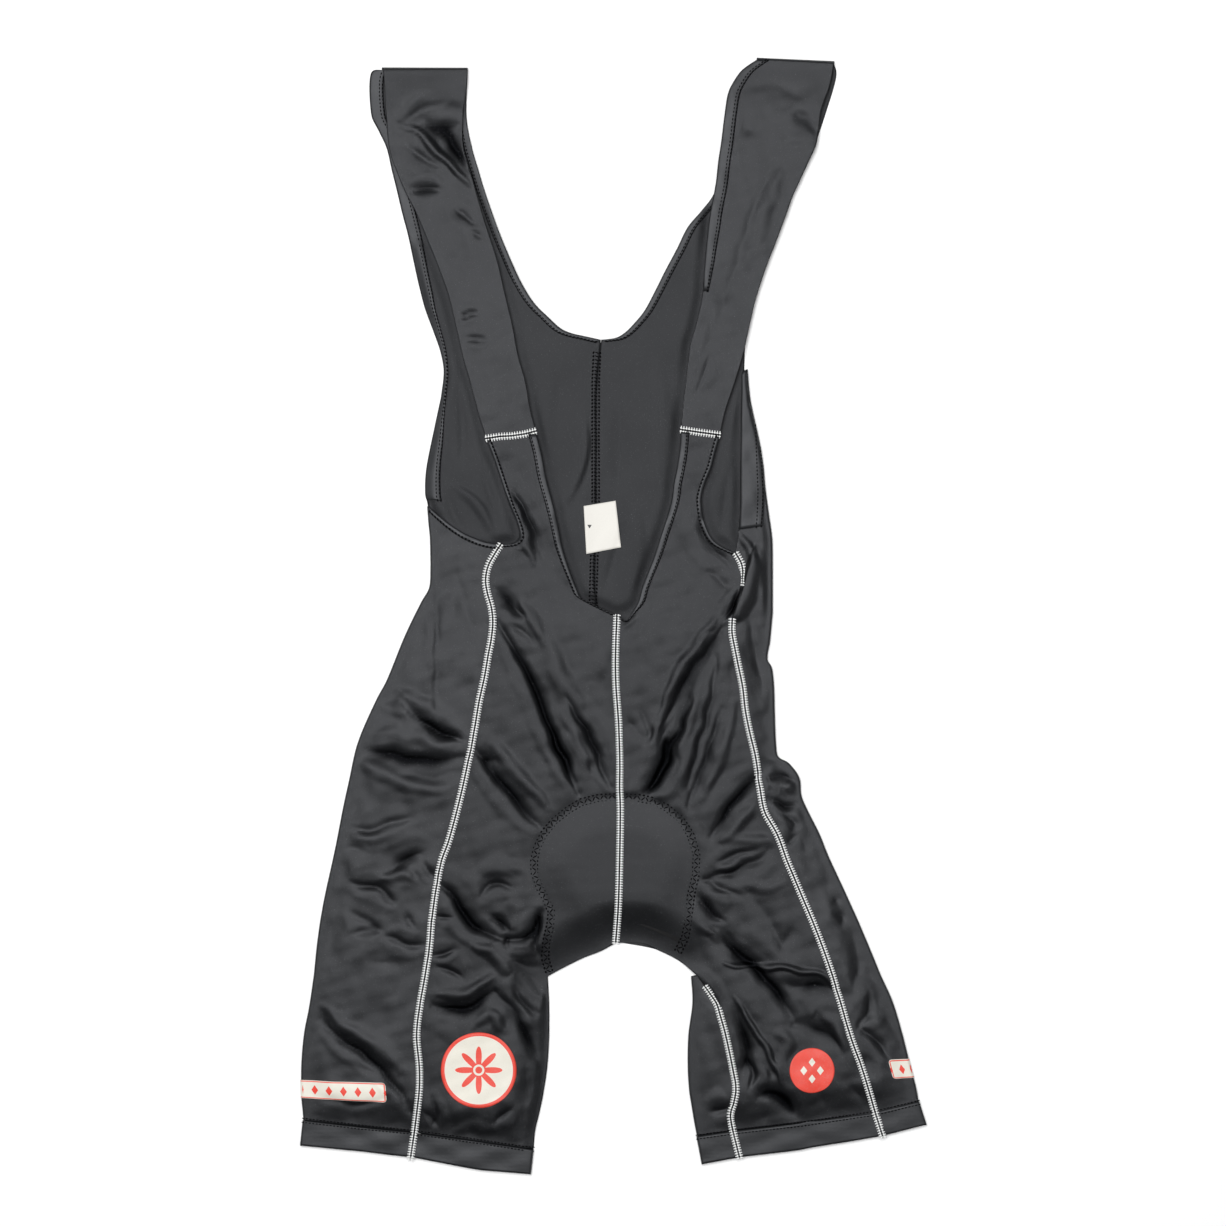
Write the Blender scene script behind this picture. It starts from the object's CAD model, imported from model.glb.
"""Looks of a pair of cycling bib shorts that lie flat on their back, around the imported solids."""

import math
import random
from functools import partial

import bmesh
import bpy
import numpy as np
from mathutils import Matrix


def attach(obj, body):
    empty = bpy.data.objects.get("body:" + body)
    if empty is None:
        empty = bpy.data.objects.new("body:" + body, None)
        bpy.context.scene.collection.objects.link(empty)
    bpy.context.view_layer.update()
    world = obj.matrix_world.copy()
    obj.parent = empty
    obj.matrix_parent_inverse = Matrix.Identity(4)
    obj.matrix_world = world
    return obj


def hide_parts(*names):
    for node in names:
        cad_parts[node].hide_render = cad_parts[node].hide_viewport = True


bl_info = {
    "name": "Cycling bib shorts",
    "version": (1, 0, 0),
    "blender": (4, 5, 0),
    "location": "3D View > Sidebar > Bib Shorts",
    "description": "Builds the cloth, seams and prints of a pair of bib shorts laid out flat",
    "category": "Object",
}

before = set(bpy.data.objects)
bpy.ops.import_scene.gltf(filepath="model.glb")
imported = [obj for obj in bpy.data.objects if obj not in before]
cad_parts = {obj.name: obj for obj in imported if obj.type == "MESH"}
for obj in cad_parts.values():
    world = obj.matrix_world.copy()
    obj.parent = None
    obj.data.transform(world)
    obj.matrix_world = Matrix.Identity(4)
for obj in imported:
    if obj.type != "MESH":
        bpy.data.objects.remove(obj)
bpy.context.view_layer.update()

MM = 0.001
BODY = "root"

# Heights of the middle of each layer of cloth above the surface, in millimetres
CLOTH = 0.8
BACK_LEVEL = 0.5
FRONT_LEVEL = 3.7
SEALED_LEVEL = 1.5
TURN_RADIUS = (FRONT_LEVEL - BACK_LEVEL) / 2
# The most that folds rise and sink, and the depth of the deepest trough in the table
RISE_LIMIT = 5.0
SINK_LIMIT = 1.7
SINK_SHARE = 1.5
DEEPEST = 4.4
# How far the cloth stands up from its level at the chest, and more on the legs and straps, which
# start at a height in Y and reach it over a stretch
CHEST_PUFF = 1.6
LEG_PUFF, LEGS_FROM, LEGS_OVER = 2.8, 40, 70
STRAP_PUFF, STRAPS_FROM, STRAPS_OVER = 0.9, 120, 50
BACK_PUFF = 1.9
BACK_SINK, BACK_RISE = 0.2, 3.4
# Lengths between the points of a grid, and the widths that it is laid out for
GRID_STEP = 1.75
BACK_STEP = 2.5
PANEL_WIDTH = 150
STRIP_WIDTH = 60
# How far from a hem, an edge or a seam the cloth starts to rise, and its folds start
PUFF_REACH = 27
FOLD_REACH = 9
CROTCH_REACH = 34
INSEAM_REACH = 9
OPENING_REACH = 9
BACK_EDGE_REACH = 8
# Low waves of the cloth: height, seed, how many ripples, shortest and longest
LONG_WAVES = (0.4, 5, 11, 28, 80)
SHORT_WAVES = (0.22, 6, 14, 9, 24)
BACK_WAVES = (0.3, 9, 7, 30, 80)
HEM_WAVES = (0.5, 3, 5, 18, 50)
# Folds: how far their lines wander, how much wider than its core a trough is, how far out its
# raised shoulders reach and their share of its depth, and the depths where a crease gets dark
FOLD_WANDER = 0.9
WANDER_SEEDS = (21, 22)
TROUGH_SPREAD = 1.4
CORE_SOFTNESS = 0.01
SHOULDER_START = 0.8
SHOULDER_REACH = 2.7
SHOULDER_SHARE = 0.17
CREASE_START = 1.1
CREASE_RANGE = 2.0
# The front of the neck is drawn down beside its point: how far, where and over what width
NECK_DIP = 6
NECK_DIP_AT = (10, 2)
NECK_DIP_OVER = (5, 9)
# Shares of u that a folded panel and a leg hem spend on their flat stretch and on their turn
TOP_SHARE = 0.66
TURN_SHARE = 0.2
SHORTEST_RUN = 0.3
HEM_TURN_SHARE = 0.08
HEM_FLAT_SHARE = 0.5 - HEM_TURN_SHARE
# Lengths along the rows of a strap: its turn over the shoulder and the calm stretch beside it
SHOULDER_TURN = 0.1
SHOULDER_CALM = 2.4
# A turned edge: its height over the cloth, its roll and where along its width it is stitched
EDGE_LIFT = CLOTH / 2 + 0.2
EDGE_ROLL = 0.7
EDGE_STITCHES = (0.72, 0.93)
EDGE_WALL = 0.5
HEM_WALL = 1.0
# Prints: thickness, height over the cloth, and the rounding of a bar's end
PRINT_WALL = 0.2
PRINT_LIFT = CLOTH / 2 + 0.12
BAR_LIFT = CLOTH / 2 + 0.15
BAR_ASIDE = 0.6
BAR_END = 2.6
# Stitches: how flat they are, and the rows of each seam: distance from its middle, height over the
# cloth, length, radius and slant, in millimetres and radians, and for the zigzag the first stitch
# and the step to the next. The radius of the white cords is half the thread width.
STITCH_FLATNESS = 0.6
ACROSS = math.pi / 2
WHITE_CORDS = ((-1.15, 0.75, 1.9, None, -0.25), (1.15, 0.75, 1.9, None, 0.25))
WHITE_LADDER = ((-2.15, 0.55, 1.7, 0.44, ACROSS + 0.3), (2.15, 0.55, 1.7, 0.44, ACROSS - 0.3))
BACK_SEAM = ((-2.6, 0.6, 2.0, 0.75, -0.4), (2.6, 0.6, 2.0, 0.75, 0.4), (0, 0.5, 3.4, 0.5, ACROSS - 0.35))
BACK_SEAM_PITCH = 2.7
PAD_EDGES = ((-2.6, 0.5, 2.1, 0.8), (2.6, 0.5, 2.1, 0.8))
PAD_ZIGZAG = ((0, 0.5, 4.4, 0.5, 0.9, 0, 2), (0, 0.5, 4.4, 0.5, -0.9, 1, 2))
PAD_PITCH = 3.1
EDGE_STITCH = (0, 0.35, 2.0, 0.45)
EDGE_PITCH = 2.8
LEG_HEM_STITCHES = ((-1.2, 0.5, 2.1, 0.45), (1.8, 0.5, 2.1, 0.45))
LEG_HEM_PITCH = 2.6
LEG_HEM_LIFT = 0.2
# The white seams climb over the turned edges at the armholes
SEAM_CLIMB = 0.9
SEAM_CLIMB_AT = ((-84, 52), (92, 45.5))
SEAM_CLIMB_OVER = 7
# Points along a white seam, and the spans of the turned edges, leg hems and prints
SEAM_POINTS = 300
EDGE_SPANS, EDGE_ROWS, SIDE_EDGE_ROWS = 8, 10, 44
HEM_SPANS, HEM_TURN_SPANS, HEM_ROWS = 59, 8, 12
PRINT_SPANS = 32

# Rails of the panels, in millimetres. Each row has the point on the rail at that row, and then
# the points that the rail passes before the next row.
LEFT_SEAM = {
    "strap seam": [(-95, 131.5), (-89, 116)],
    "strap": [(-85, 104), (-80, 89)],
    "strap end": [(-76.5, 79.5), (-72, 69)],
    "notch": [(-70, 59), (-74, 53.5)],
    "armhole": [(-84, 52), (-88, 46)],
    "rib": [(-93.5, 36), (-95.5, 25)],
    "neck point": [(-94, 15), (-91, 4)],
    "waist high": [(-90, -6), (-91, -18)],
    "waist": [(-93.5, -31), (-96, -46)],
    "waist low": [(-100, -64.5), (-104, -88)],
    "hip high": [(-107, -104)],
    "hip": [(-112, -127)],
    "hip low": [(-117, -148), (-123, -170)],
    "seat high": [(-128.5, -185), (-132, -203)],
    "seat": [(-133.5, -213)],
    "crotch": [(-136, -231)],
    "crotch curve": [(-137.5, -250)],
    "leg top": [(-140.5, -270)],
    "thigh high": [(-144.5, -293)],
    "thigh": [(-147, -315)],
    "thigh low": [(-145, -339), (-145, -354)],
    "knee": [(-146, -366)],
    "hem": [(-149, -389)],
}
LEFT_MIDDLE = {
    "strap seam": [(-58, 136.8), (-54, 122)],
    "strap": [(-50.5, 103), (-46.5, 88)],
    "strap end": [(-42.5, 72), (-40, 60)],
    "notch": [(-37.5, 48), (-33, 34)],
    "armhole": [(-27, 18), (-24, 12)],
    "rib": [(-15, 7)],
    "neck point": [(3, -1)],
    "waist high": [(2, -23)],
    "waist": [(2, -49.5)],
    "waist low": [(4.2, -81)],
    "hip high": [(5, -112)],
    "hip": [(5, -130)],
    "hip low": [(5.5, -148.5)],
    "seat high": [(5, -183)],
    "seat": [(4, -218)],
    "crotch": [(2, -247), (-9, -253)],
    "crotch curve": [(-23, -258.5), (-40, -267)],
    "leg top": [(-49, -272)],
    "thigh high": [(-48, -293)],
    "thigh": [(-48, -318)],
    "thigh low": [(-49.5, -341), (-52.5, -361)],
    "knee": [(-55, -373), (-58.5, -388)],
    "hem": [(-60, -402)],
}
LEFT_FOLD = {
    "armhole": [(-139.5, 81), (-138.5, 68)],
    "rib": [(-137.5, 58)],
    "neck point": [(-137, 37), (-138, 20)],
    "waist high": [(-144, 9)],
    "waist": [(-157, -18), (-170, -50)],
    "waist low": [(-177, -63), (-188, -87)],
    "hip high": [(-193, -101)],
    "hip": [(-198, -124)],
    "hip low": [(-203, -147), (-208, -173)],
    "seat high": [(-211, -187)],
    "seat": [(-216.5, -212)],
    "crotch": [(-220, -231)],
    "crotch curve": [(-222.5, -250)],
    "leg top": [(-224.5, -270)],
    "thigh high": [(-228, -294)],
    "thigh": [(-232, -315)],
    "thigh low": [(-234, -338)],
    "knee": [(-234, -362), (-233, -373)],
    "hem": [(-232.5, -380)],
}
LEFT_UNDER = {
    "armhole": 4,
    "rib": 6,
    "neck point": 9,
    "waist high": 12,
    "waist": 16,
    "waist low": 20,
    "hip high": 24,
    "hip": 26,
    "hip low": 28,
    "hem": 28,
}
LEFT_DIP = {"armhole": 6, "rib": 1, "neck point": 0, "hem": 0}

RIGHT_SEAM = {
    "strap seam": [(80, 134), (77, 123)],
    "strap": [(73.5, 110), (69, 99)],
    "strap end": [(66, 88), (66.5, 78)],
    "notch": [(70, 64), (76, 54)],
    "armhole": [(92, 45.5), (96.5, 37)],
    "rib": [(97.5, 25), (95, 12)],
    "neck point": [(90, 3)],
    "waist high": [(89, -13), (91, -25)],
    "waist": [(93.7, -38), (97, -54)],
    "waist low": [(99, -71), (102, -87)],
    "hip high": [(106.5, -106)],
    "hip": [(110, -130)],
    "hip low": [(114, -149), (123, -165)],
    "seat high": [(130, -184), (135, -196)],
    "seat": [(140.5, -209)],
    "crotch": [(149, -229)],
    "crotch curve": [(157, -249.5)],
    "leg top": [(164.5, -271)],
    "thigh high": [(170.7, -292)],
    "thigh": [(177.5, -315)],
    "thigh low": [(186, -339)],
    "knee": [(192, -358)],
    "hem": [(197, -375)],
}
RIGHT_MIDDLE = {
    "strap seam": [(51, 138), (50, 123)],
    "strap": [(48, 110), (45.5, 97)],
    "strap end": [(44, 85), (40, 71)],
    "notch": [(35.5, 57), (31, 43)],
    "armhole": [(26, 30), (22, 20)],
    "rib": [(18.5, 8), (12, 1.5)],
    "neck point": [(3, -1)],
    "waist high": [(2, -23)],
    "waist": [(2, -49.5)],
    "waist low": [(4.2, -81)],
    "hip high": [(5, -112)],
    "hip": [(5, -130)],
    "hip low": [(5.5, -148.5)],
    "seat high": [(5, -183)],
    "seat": [(4, -218)],
    "crotch": [(2, -247), (21, -247)],
    "crotch curve": [(33, -252), (49, -260)],
    "leg top": [(63, -271), (72, -283)],
    "thigh high": [(77.5, -292), (81, -303)],
    "thigh": [(84.5, -316)],
    "thigh low": [(89.5, -340), (92, -355)],
    "knee": [(90.5, -366), (88, -376)],
    "hem": [(90, -388)],
}
RIGHT_FOLD = {
    "scoop point": [(101, 184), (103, 163)],
    "back high": [(105.5, 150), (110, 130)],
    "back": [(113, 112), (114.5, 95)],
    "armpit": [(117, 76), (119.5, 58)],
    "armhole": [(120, 46)],
    "rib": [(120, 22)],
    "neck point": [(120, 1)],
    "waist high": [(118, -20), (116, -34)],
    "waist": [(119.5, -41), (121, -55)],
    "waist low": [(121.5, -74), (122.5, -98)],
    "hip high": [(124, -107), (132, -112)],
    "hip": [(140, -123), (141.5, -136)],
    "hip low": [(145.5, -146), (155, -165)],
    "seat high": [(161.5, -181)],
    "seat": [(173.5, -207)],
    "crotch": [(183.5, -229)],
    "crotch curve": [(192, -249)],
    "leg top": [(201, -271)],
    "thigh high": [(210, -291)],
    "thigh": [(217, -314)],
    "thigh low": [(223, -338)],
    "knee": [(227.5, -355)],
    "hem": [(229.5, -366)],
}
FLAP_SEAM = {
    "scoop point": [(96.5, 181)],
    "back high": [(96, 150)],
    "back": [(95.5, 110)],
    "armpit": [(95, 72)],
}
RIGHT_UNDER = {
    "scoop point": 3,
    "back high": 3.5,
    "back": 4,
    "armhole": 4,
    "rib": 6,
    "neck point": 8,
    "waist high": 8,
    "waist": 10,
    "waist low": 12,
    "hip high": 14,
    "hip": 18,
    "hip low": 22,
    "seat high": 26,
    "seat": 28,
    "hem": 28,
}
RIGHT_DIP = {"scoop point": 0, "hem": 0}
INNER_LEG_FOLD = {
    "leg top": [(58.5, -272)],
    "thigh high": [(59.5, -292)],
    "thigh": [(56.5, -316)],
    "thigh low": [(56, -340), (57, -357)],
    "knee": [(58.5, -367), (61, -382)],
    "hem": [(63, -392)],
}
INNER_LEG_UNDER = {
    "leg top": 5,
    "thigh high": 8,
    "thigh": 10,
    "thigh low": 12,
    "hem": 12,
}

LEFT_OUTER = {
    "front seam": [(-95, 131.9), (-100, 147)],
    "front low": [(-107.5, 175.5), (-112, 191)],
    "front mid": [(-118, 217), (-123, 238)],
    "front high": [(-130.5, 259.5), (-138, 278)],
    "front bend": [(-146.5, 298.5), (-155, 315)],
    "front twist": [(-159.5, 325)],
    "front neck": [(-167.5, 348)],
    "front cap": [(-170, 374)],
    "front shoulder": [(-171.5, 397)],
    "shoulder": [(-172.5, 408.5)],
    "back shoulder": [(-182, 405)],
    "cap": [(-181.5, 375), (-176, 363)],
    "neck side": [(-170, 350), (-166, 333)],
    "blade high": [(-163, 321), (-158, 300)],
    "blade": [(-154, 285), (-149.5, 264)],
    "blade low": [(-145.5, 246), (-141, 229)],
    "scoop high": [(-134.5, 211.5), (-129.5, 197)],
    "scoop": [(-127, 183)],
    "scoop point": [(-129, 163)],
    "back high": [(-134, 140)],
    "back": [(-140, 110)],
    "armpit": [(-141, 91), (-139.5, 84)],
}
LEFT_INNER = {
    "front seam": [(-58, 137.2), (-62, 153)],
    "front low": [(-66, 175.5), (-71, 193)],
    "front mid": [(-75.5, 217), (-81, 240)],
    "front high": [(-86, 262), (-91.5, 280)],
    "front bend": [(-97.5, 298.5)],
    "front twist": [(-105, 325)],
    "front neck": [(-112.5, 351)],
    "front cap": [(-112, 376.5)],
    "front shoulder": [(-109.5, 397)],
    "shoulder": [(-109, 409)],
    "back shoulder": [(-109.5, 399)],
    "cap": [(-110, 373)],
    "neck side": [(-106, 350), (-101, 333)],
    "blade high": [(-97, 319.5), (-90, 299)],
    "blade": [(-84, 283), (-76, 264)],
    "blade low": [(-68.5, 248), (-59, 233)],
    "scoop high": [(-49, 223), (-39, 214)],
    "scoop": [(-31, 210.5), (-20, 208)],
    "scoop point": [(-9, 205.5)],
    "back high": [(-12.5, 168)],
    "back": [(-13, 123)],
    "armpit": [(-13, 82)],
}
RIGHT_OUTER = {
    "front seam": [(80, 134.4), (84, 152)],
    "front low": [(91, 173), (97, 193)],
    "front mid": [(102, 214.5), (107, 236)],
    "front high": [(115, 260.5), (123, 281)],
    "front bend": [(129.5, 298.5), (135, 314)],
    "front twist": [(139, 322.5), (147, 340)],
    "front neck": [(152, 351), (154, 362)],
    "front cap": [(156, 377)],
    "front shoulder": [(163, 397)],
    "shoulder": [(166, 414)],
    "back shoulder": [(167.5, 403)],
    "cap": [(160, 377)],
    "neck side": [(149, 346)],
    "blade high": [(134, 319)],
    "blade": [(119, 284)],
    "blade low": [(107, 250)],
    "scoop high": [(100, 222)],
    "scoop": [(99, 197)],
    "scoop point": [(97.5, 182)],
    "back high": [(101, 149)],
    "back": [(109, 110)],
    "armpit": [(113, 76)],
}
RIGHT_INNER = {
    "front seam": [(51, 138.4), (53, 161)],
    "front low": [(55, 177), (58, 202)],
    "front mid": [(62, 216), (67, 238)],
    "front high": [(68.5, 259.5), (70, 277)],
    "front bend": [(72.5, 298.5)],
    "front twist": [(77, 322.5), (79, 340)],
    "front neck": [(81, 353)],
    "front cap": [(84, 377), (86.5, 391)],
    "front shoulder": [(91, 400), (97, 408)],
    "shoulder": [(110, 417)],
    "back shoulder": [(97, 402)],
    "cap": [(87, 376.5)],
    "neck side": [(84, 346)],
    "blade high": [(76, 316), (66, 302)],
    "blade": [(56, 290), (48, 274)],
    "blade low": [(39, 257), (32, 243)],
    "scoop high": [(24, 228), (16, 218)],
    "scoop": [(9, 211), (2, 207)],
    "scoop point": [(-9, 205.5)],
    "back high": [(-12.5, 168)],
    "back": [(-13, 123)],
    "armpit": [(-13, 82)],
}
CENTRE_BACK = {
    "armhole": [(-13.5, 52)],
    "rib": [(-14, 29)],
    "neck point": [(-13, 7)],
    "waist high": [(-10, -19.5)],
    "waist": [(-7, -49.5)],
    "waist low": [(-3, -81)],
    "hip high": [(0, -112)],
    "hip": [(1.5, -130)],
    "hip low": [(2, -148.5)],
    "seat high": [(3, -183)],
    "seat": [(2.5, -218)],
    "crotch": [(1.5, -246)],
}

# Stitched line and lower edge of each leg hem, from the outer fold to the inner one
LEFT_HEM_LINE = [(-232.5, -380), (-190, -385), (-149, -389), (-100, -396), (-60, -402)]
LEFT_HEM_EDGE = [(-234.5, -399), (-190, -403.5), (-152, -409), (-97, -418), (-62, -420.5)]
RIGHT_HEM_LINE = [(229.5, -366), (197, -374), (140, -382.5), (91, -388), (63, -392)]
RIGHT_HEM_EDGE = [(235, -383.5), (202.5, -392), (140, -403.5), (95, -408), (67, -413)]

CORNERS = ("neck point", "scoop point", "crotch", "leg top", "armhole", "shoulder")

# Folds of the upper layer: the line that each follows, its half width, its height over the cloth
# beside it, negative where it is a trough, and how far its crest leans to the left of the line as
# a share of the half width.
FOLDS = [
    # Waist
    ([(-89, 18), (-79, 11), (-68, 1)], 7, -3.6, 0),
    ([(-87, -7), (-76, -22), (-66, -41), (-56, -62), (-49, -83), (-41, -102), (-32, -123), (-26, -135)],
     5.5, -4.6, 0.2),
    ([(-77, -7), (-66, -14), (-60, -24)], 4, -2, 0),
    ([(-35, -62), (-28, -75), (-20, -87), (-12, -102), (-9, -116), (-1, -129)], 4.5, -3.6, 0.2),
    ([(-45, -89), (-37, -108), (-28, -125)], 4, -2.4, 0),
    ([(-18, -110), (-14, -121)], 4, -1.6, 0),
    ([(-55, -7), (-45, -33), (-33, -58), (-22, -81)], 11, 2.4, 0),
    ([(-68, 11), (-60, -3), (-53, -22)], 7, 1.8, 0),
    ([(-73, 91), (-64, 74), (-58, 57), (-54, 43)], 4.5, -3, 0),
    ([(-77, 89), (-70, 72), (-64, 53), (-60, 37)], 6, 1.6, 0),
    ([(-47, 72), (-37, 43), (-28, 14)], 9, 1.2, 0),
    ([(-76, 53), (-68, 60)], 3, -1.8, 0),
    ([(-121, 45), (-115, 24), (-107, -3), (-103, -22)], 6, -1.2, 0),
    ([(-135, 68), (-134, 34), (-133, -7), (-133, -45), (-131, -77)], 4, -2, 0.3),
    ([(-156, -70), (-144, -77), (-131, -85), (-116, -95)], 5, -3, 0),
    ([(-160, -58), (-148, -64), (-133, -72)], 8, 1.6, 0),
    ([(106, 46), (99, 21), (93, 5), (86, -4)], 8, 5.5, 0.6),
    ([(86, -3), (91, 6), (95, 18)], 3.5, -4.5, 0),
    ([(85, -7), (74, -22), (62, -37), (53, -53), (45, -68), (39, -81), (33, -95)], 5, -3.2, 0.4),
    ([(80, -14), (70, -37), (58, -58), (49, -77), (41, -97)], 6, -2.2, 0),
    ([(79, 1), (68, -16), (55, -35), (43, -56), (35, -77)], 7, 2.4, 0),
    ([(41, -91), (39, -108), (33, -125), (24, -133)], 6, -4.6, 0),
    ([(77, -33), (75, -60), (69, -81), (62, -106), (56, -129)], 4.4, -3, 0),
    ([(68, -30), (62, -53), (55, -81), (51, -106)], 8, 1.8, 0),
    ([(21, -72), (27, -83), (27, -95)], 4, -1.4, 0),
    ([(11, -79), (22, -93)], 4, -1.2, 0),
    ([(68, 79), (66, 62), (73, 48), (87, 37)], 5, -2.6, 0),
    ([(73, 30), (81, 26), (87, 20)], 3.5, -1.4, 0),
    ([(64, -22), (70, -14), (76, -12)], 3, -1, 0),
    ([(95, 62), (105, 45), (104, 28), (97, 11), (91, -7)], 7, 2.4, 0),
    ([(113, 85), (114, 43), (112, -7)], 8, 1.6, 0),
    ([(102, -7), (108, -33), (114, -64)], 5, -1.4, 0),
    ([(-3, -7), (-7, -33), (-14, -53)], 9, 1, 0),
    ([(20, -7), (24, -33), (18, -56)], 9, 1, 0),
    ([(7, -12), (12, -7), (18, 1)], 4, -1.4, 0),
    # Left hip and leg
    ([(-191, -99), (-172, -104), (-151, -109), (-130, -110), (-112, -108)], 8.5, -4.4, -0.25),
    ([(-158, -120), (-135, -122), (-112, -118)], 8, -2.2, 0),
    ([(-196, -109), (-176, -118), (-153, -128), (-126, -131)], 9, 2, 0),
    ([(-153, -75), (-142, -82), (-128, -90), (-114, -96)], 4.5, -2.8, 0),
    ([(-174, -68), (-151, -75), (-130, -84)], 8, 1.4, 0),
    ([(-103, -102), (-91, -118), (-80, -133), (-66, -149), (-55, -160)], 6, -4.2, 0.2),
    ([(-89, -97), (-75, -116), (-59, -133), (-48, -145)], 8, 1.8, 0),
    ([(-99, -108), (-89, -108)], 6, -2.4, 0),
    ([(-198, -160), (-181, -163), (-165, -157), (-151, -152)], 5, -1.8, 0),
    ([(-200, -175), (-183, -179)], 5, -1.4, 0),
    ([(-195, -168), (-174, -168), (-153, -157)], 7, 1.2, 0),
    ([(-165, -190), (-158, -184), (-149, -180), (-142, -180)], 6.5, -3.6, 0),
    ([(-142, -184), (-137, -193), (-133, -200)], 3, -2.2, 0),
    ([(-151, -193), (-146, -200)], 4, -1.6, 0),
    ([(-196, -201), (-183, -204), (-172, -207), (-164, -215)], 4, -3, 0),
    ([(-172, -211), (-163, -218)], 3, -1.6, 0),
    ([(-174, -200), (-160, -193), (-149, -198)], 6, 1.6, 0),
    ([(-196, -223), (-184, -232), (-173, -237)], 5, -2, 0),
    ([(-195, -240), (-174, -236)], 5, -2, 0),
    ([(-171, -241), (-158, -246), (-142, -249)], 4, -2.8, 0),
    ([(-154, -225), (-148, -236)], 3, -2, 0),
    ([(-181, -262), (-165, -260), (-158, -267), (-163, -285)], 6, -1.4, 0),
    ([(-132, -228), (-121, -227)], 3, -2.2, 0),
    ([(-130, -201), (-121, -209), (-114, -221), (-107, -230), (-96, -239), (-81, -245)], 6.5, -4.8, 0.2),
    ([(-99, -211), (-93, -204), (-84, -202), (-75, -205)], 4, -3, 0),
    ([(-91, -225), (-85, -230), (-79, -237)], 6, -4.2, 0),
    ([(-79, -245), (-68, -243), (-59, -236), (-52, -225)], 5, -4.4, 0),
    ([(-81, -237), (-79, -252)], 2.5, -2, 0),
    ([(-52, -223), (-57, -239), (-59, -253), (-53, -262)], 5, -3.6, 0),
    ([(-73, -260), (-64, -264), (-52, -267)], 3.5, -2, 0),
    ([(-103, -248), (-89, -255), (-75, -271)], 8, 2, 0),
    ([(-103, -193), (-84, -188), (-66, -193)], 10, 1.6, 0),
    ([(-135, -255), (-121, -251)], 3.5, -2.2, 0),
    ([(-130, -264), (-121, -267), (-114, -273)], 4.5, -2.6, 0),
    ([(-134, -294), (-121, -295), (-109, -296), (-97, -288), (-89, -282)], 7, -5, -0.2),
    ([(-89, -282), (-77, -292), (-68, -308), (-60, -326), (-53, -342)], 7, -3.8, 0),
    ([(-130, -284), (-114, -286), (-101, -278), (-89, -272)], 6, 2.2, 0),
    ([(-103, -310), (-93, -296), (-81, -312)], 7, 2, 0),
    ([(-73, -280), (-66, -292), (-56, -301), (-50, -299)], 4, -3, 0),
    ([(-68, -271), (-57, -285), (-50, -291)], 6, 1.8, 0),
    ([(-220, -304), (-210, -314), (-199, -323), (-185, -330), (-174, -341), (-164, -353), (-157, -363),
      (-153, -373)], 5, -4.2, 0.2),
    ([(-218, -294), (-204, -309), (-185, -318), (-171, -329), (-158, -342)], 7, 2, 0),
    ([(-192, -338), (-181, -342), (-169, -354)], 5, -1.6, 0),
    ([(-226, -361), (-208, -365), (-192, -369), (-169, -363)], 5, -1.8, 0),
    ([(-135, -362), (-132, -374), (-135, -386)], 3, -2.2, 0),
    ([(-142, -371), (-130, -386)], 4, -2, 0),
    ([(-89, -380), (-81, -373), (-75, -370)], 4, -3, 0),
    ([(-66, -340), (-63, -356), (-57, -370)], 6, -1.8, 0),
    ([(-220, -225), (-213, -248), (-215, -271)], 8, -1.2, 0),
    ([(-121, -391), (-107, -384), (-89, -386)], 7, 1, 0),
    # Right thigh and leg
    ([(59, -64), (52, -83), (43, -104), (36, -122), (25, -132)], 5.5, -4.4, 0),
    ([(81, -71), (75, -90), (68, -110), (61, -131), (56, -143)], 5, -3.4, 0),
    ([(46, -76), (38, -90), (35, -99)], 2.5, -1.6, 0),
    ([(91, -67), (86, -90), (77, -115), (68, -138)], 7, 1.8, 0),
    ([(112, -118), (100, -130), (89, -144), (80, -156), (73, -167)], 5.5, -4.4, 0),
    ([(105, -143), (94, -156), (82, -170)], 7, 1.8, 0),
    ([(117, -122), (128, -120), (137, -126)], 4, -3.4, 0),
    ([(128, -128), (137, -131), (141, -133)], 6, 2, 0),
    ([(120, -141), (131, -145), (141, -140)], 4.5, -3.6, 0),
    ([(129, -152), (137, -156), (133, -163)], 5, -1.8, 0),
    ([(137, -166), (130, -172)], 4, -2, 0),
    ([(69, -200), (87, -193), (105, -186), (117, -177)], 5.5, -3.4, 0),
    ([(79, -186), (94, -180), (110, -175)], 4, -2.4, 0),
    ([(77, -193), (96, -187)], 4, 1.6, 0),
    ([(66, -199), (82, -206), (94, -211)], 3.5, -2, 0),
    ([(64, -213), (72, -223), (83, -230)], 5.5, -4.2, 0),
    ([(66, -234), (80, -241), (89, -253)], 6, 1.4, 0),
    ([(76, -236), (89, -250), (105, -264), (119, -278), (128, -292), (138, -306)], 7.5, -4.8, 0),
    ([(128, -277), (142, -279), (158, -278), (167, -285)], 8.5, -3.6, 0),
    ([(137, -308), (151, -311), (164, -316), (172, -329)], 8, -3.2, 0),
    ([(84, -262), (100, -265), (114, -266), (128, -265), (142, -267), (156, -268), (165, -278)],
     3.5, 2.6, 0.3),
    ([(105, -214), (119, -229), (125, -246)], 6, -1.4, 0),
    ([(135, -233), (126, -253)], 6, -1.4, 0),
    ([(100, -202), (114, -207), (128, -202)], 7, 1.2, 0),
    ([(82, -170), (100, -166), (119, -172)], 6, 1.2, 0),
    ([(164, -216), (174, -211)], 3.5, -2, 0),
    ([(167, -225), (174, -226), (172, -233)], 3.5, -2, 0),
    ([(193, -284), (192, -296), (183, -310)], 5, -2.6, 0),
    ([(185, -310), (197, -319), (206, -331)], 5, -2.4, 0),
    ([(91, -294), (99, -314), (102, -333), (94, -349)], 6.5, -3.8, 0),
    ([(91, -286), (103, -306), (111, -322), (122, -337), (128, -352)], 3.5, 2, 0.2),
    ([(112, -335), (123, -347)], 5, -1.6, 0),
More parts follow.
